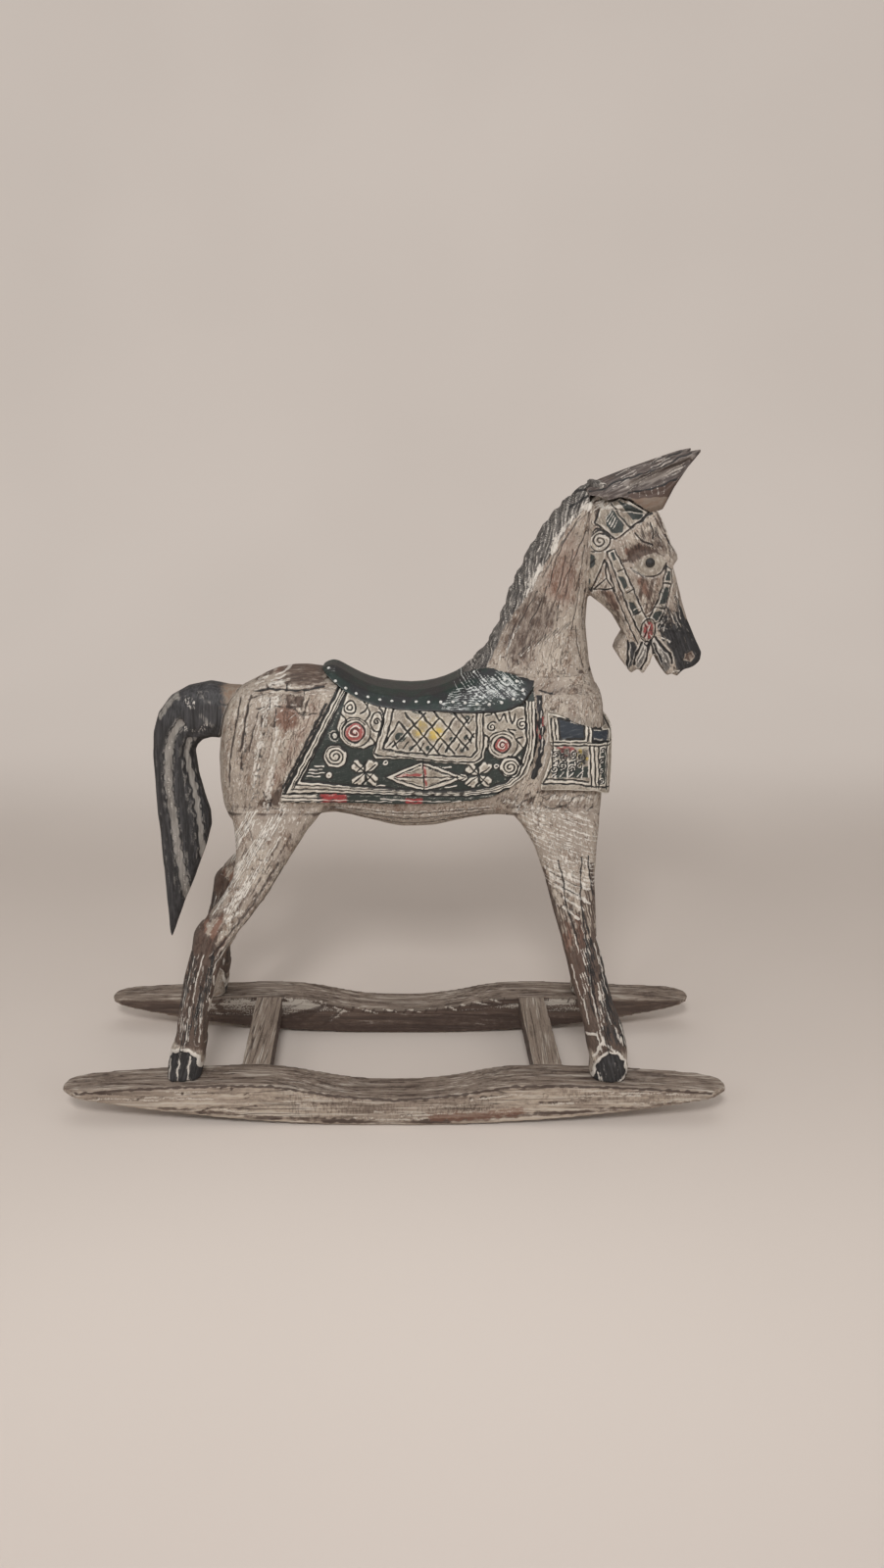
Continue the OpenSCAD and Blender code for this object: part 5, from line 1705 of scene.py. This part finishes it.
def scroll_plate_side(plate):
    """Raised scrolls in the sunk field, with touches of red and ochre"""
    scrolls = []
    for i, x in enumerate((141, 148, 156, 163)):
        scrolls += [spiral(x, 335 - (i % 2) * 3, 3.8, 1.5, 90 * i),
            spiral(x - 1, 322 + (i % 2) * 3, 3.8, 1.5, 200 + 70 * i)]
        scrolls += [[(x - 2, 328), (x + 2, 330), (x + 3, 326)], [(x - 2, 315), (x + 1, 318)]]
    scrolls += [spiral(182, z, 3.2, 1.4, 60 * i) for i, z in enumerate((336, 327, 318, 309))]
    carve(plate, [[(x - 0.8, z + 0.6) for x, z in scroll] for scroll in scrolls], 1.6, -0.7, "chalked", 1.0)
    cut_lines(plate, scrolls, 1.4, 0.9, 1.0)
    fill(plate, "sunk", [[(142, 326), (147, 326), (148, 312), (143, 312)],
        [(155, 332), (160, 332), (160, 314), (156, 314)]], 0.9, 1.2)
    for layer in ("sunk", "lined"):
        fill(plate, layer, [box(142, 330, 155, 342), box(159, 325, 169, 340)],
            0.55 if layer == "lined" else 0, 2)
    scrapes = [[(x + 0.6 * i, 338), (x + 0.6 * i, 314)] for i, x in enumerate((141, 151, 163, 168))]
    brush(plate, "chalked", scrapes, 1.8, 1.0)
    brush(plate, "rosy", [ring(150, 338, 4, 1, 8), [(142, 342), (147, 339), (147, 332)],
        [(154, 341), (158, 338)]], 2.6, 1.3)
    brush(plate, "ochre", [[(161, 339), (165, 333), (162, 325)], [(160, 334), (168, 331)]], 3.6, 1.5)


def make_breastplate():
    plate = block("breastplate", ("breastplate",), voxel=0.85, rounds=3)
    frame_plate_side(plate)
    scroll_plate_side(plate)
    quarter_turn(plate, 1)
    carve_plate_front(plate)
    quarter_turn(plate, -1)
    feel_edges(plate)
    settle(plate, tack_paint("carved_breastplate_paint"), "tack_paint", "breastplate")


# ---------------------------------------------------------------- rockers and crossbars

WHOLE_ROCKER = box(-310, -10, 310, 60)


def rocker_grain(start, reach, share):
    """A stroke along the grain of a rocker, at a share of its height"""
    xs = np.arange(start, start + reach, 6)
    top = np.interp(xs, (-300, -250, -200, -152, -106, -56, 0, 56, 106, 152, 200, 250, 300),
        (31, 36, 39, 41, 40, 31, 26, 31, 40, 41, 39, 36, 32))
    low = np.interp(xs, (-300, -202, -104, 0, 97, 196, 275, 300), (29, 17, 8, 2, 8, 17, 24, 28))
    return list(zip(xs, low + (top - low) * share))


def paint_rocker_face(rocker, side, outer):
    """The outer face: pale, with saw marks, grain, painted shade along its upper and lower edges and red
    rubbed below
    """

    def outward(place, facing):
        return np.clip(facing[:, 1] * side * 4 - 0.6, 0, 1)

    fill(rocker, "pale", [WHOLE_ROCKER], 0.55, 1, outer)
    fill(rocker, "pale", [[(-280, -5), (-190, 36), (-104, 44), (-60, 34), (-40, 10), (-90, -5)],
        [(80, 24), (140, 44), (270, 30), (280, 20), (90, -5)]], 1.0, 12, outer)
    fill(rocker, "sawn", [[(-96, 34), (-50, 28), (0, 22), (90, 28), (90, 12), (-90, 8)],
        [(150, 38), (275, 32), (280, 24), (160, 26)]], 1.0, 6, outer)
    for i in range(54):
        path = rocker_grain(-284 + (i * 97) % 520, 20 + (i * 37) % 60, 0.1 + (i * 0.618) % 0.82)
        if i % 3:
            carve(rocker, [path], 1.4, 0.35, "stain_and_shade", 0.5, outer)
        else:
            brush(rocker, "chalked", [path], 2.6, 0.8, outer)
    # Painted shade: dark bands along the upper and the lower edge of the outer face
    edge = rocker_grain(-296, 594, 1)
    brush(rocker, "lined", [edge], 3.4, 1.0, outward)
    brush(rocker, "stain_and_shade", [edge[:8], edge[34:70]], 8, 0.5, outer)
    brush(rocker, "stain_and_shade", [rocker_grain(-210, 480, 0.02)], 7, 0.7, outer)
    brush(rocker, "rubbed", [[(34, 9), (72, 10), (114, 15)]], 13, 0.95, outer)
    carve(rocker, [[(-176, 14), (-163, 19), (-128, 17)]], 1.8, 0.8, "lined", 0.8, outer)


def paint_rocker_back(rocker, above, inner):
    """The top, darkened as painted shade, and the inner face: nearly black, with chalk scraped along its
    upper half
    """
    # Painted shade: the top is darkened
    fill(rocker, "stain_and_shade", [WHOLE_ROCKER], 0.33, 1, above)
    fill(rocker, "stain_and_shade", [WHOLE_ROCKER], 0.85, 1, inner)
    fill(rocker, "chalked", [[(-196, 30), (-178, 39), (-150, 40), (-150, 20), (-188, 18)],
        [(-116, 42), (-100, 40), (-62, 26), (-26, 14), (-40, 9), (-76, 12), (-104, 20)],
        [(48, 24), (76, 26), (84, 18), (50, 16)], [(86, 28), (112, 34), (112, 22), (92, 16)],
        [(150, 40), (180, 40), (182, 28), (156, 26)]], 0.95, 4, inner)
    fill(rocker, "lined", [box(-205, -5, 235, 21)], 0.62, 7, inner)
    scratch(rocker, "chalked", [(-200, 38), (190, 38), (190, 22), (-200, 20)], 110, 50, 16, 2.4, 0.95, inner)
    scratch(rocker, "lined", [(-200, 38), (190, 38), (190, 12), (-200, 12)], 200, 80, 20, 2.2, 0.85, inner)


def finish_rocker_ends(rocker, outer):
    """Plugged screw holes and chalked tips"""
    carve(rocker, [ring(-145, 38, 0.8), ring(-155, 38, 0.8), ring(-189, 33, 0.8)], 2.4, 1.2, "lined", 0.9,
        outer)
    for x in (-131, 136):
        brush(rocker, "stain_and_shade", [ring(x, 31, 2.4)], 3.5, 0.7, outer)
    tips = [box(-310, -5, -290, 60), box(292, -5, 310, 60)]
    fill(rocker, "stain_and_shade", tips, 0, 4)
    fill(rocker, "chalked", tips, 0.62, 4, outer)


def paint_rocker(rocker, side):
    """Painted shade on the top, a pale sawn outer face and a dark stain on the inner face. The marks run in
    the side view
    """

    def outer(place, facing):
        return np.clip((facing[:, 1] * side - 0.7) / 0.2, 0, 1)

    def inner(place, facing):
        return np.clip((-facing[:, 1] * side - 0.4) / 0.3, 0, 1)

    def above(place, facing):
        return np.clip((facing[:, 2] - 0.5) / 0.3, 0, 1)

    paint_rocker_face(rocker, side, outer)
    paint_rocker_back(rocker, above, inner)
    finish_rocker_ends(rocker, outer)


def chop_rocker_tips(rocker, side):
    """Takes both corners off each end, seen from above"""
    for end in (-1, 1):
        for flank in (-1, 1):
            chop = cutter_from(box(-60, -20, 60, 80), *sorted((0, flank * 40)))
            chop.location = (end * 284 * MM, (side * 83 + flank * 18) * MM, 0)
            chop.rotation_euler = (0, 0, math.radians(-33) * end * flank)
            cut_with(rocker, chop)


def make_rockers():
    """Each is closed up with what goes into it, and then cut back to the plank itself"""
    finish = driftwood("weathered_rockers", 90)
    for name, side in (("rocker_right", -1), ("rocker_left", 1)):
        rocker = block(name, (name, "crossbar_screws", "foot_dowels", "crossbar_front", "crossbar_rear"),
            voxel=1.5, rounds=3)
        plank = cutter_from(WHOLE_ROCKER, *sorted((side * 65, side * 110)))
        cut_with(rocker, plank, "INTERSECT")
        chop_rocker_tips(rocker, side)
        whittle(rocker, 30, 0.7)
        paint_rocker(rocker, side)
        feel_edges(rocker)
        settle(rocker, finish, "rocker_wood", name)


def make_crossbars():
    """Planks across the rockers, pale on top and stained everywhere else"""

    def below_top(place, facing):
        return np.clip(1 - facing[:, 2] * 2, 0, 1)

    finish = driftwood("weathered_crossbars", ACROSS)
    whole_bar = box(-200, -10, 200, 60)
    for name in ("crossbar_front", "crossbar_rear"):
        bar = block(name, (name,), voxel=1.2, rounds=4)
        fill(bar, "pale", [whole_bar], 0.4)
        fill(bar, "stain_and_shade", [whole_bar], 0.8, 1, below_top)
        feel_edges(bar)
        settle(bar, finish, "rocker_wood", name)


def paint_inner_pieces():
    """The dowels stay hidden in their holes, and the screws look out of the rockers"""
    finishes = {"eyes": eye_paint(), "crossbar_screws": screw_steel()}
    wood = beech()
    for name in ("eyes", "crossbar_screws", "hip_dowels", "foot_dowels", "neck_dowels", "head_dowel",
            "tail_dowel"):
        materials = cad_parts[name].data.materials
        materials.clear()
        materials.append(finishes.get(name, wood))


set_camera()
roll_out_paper()
set_lights()
make_wood()
make_ears()
make_tail()
make_saddle()
make_saddle_cloths()
make_breastplate()
make_rockers()
make_crossbars()
paint_inner_pieces()
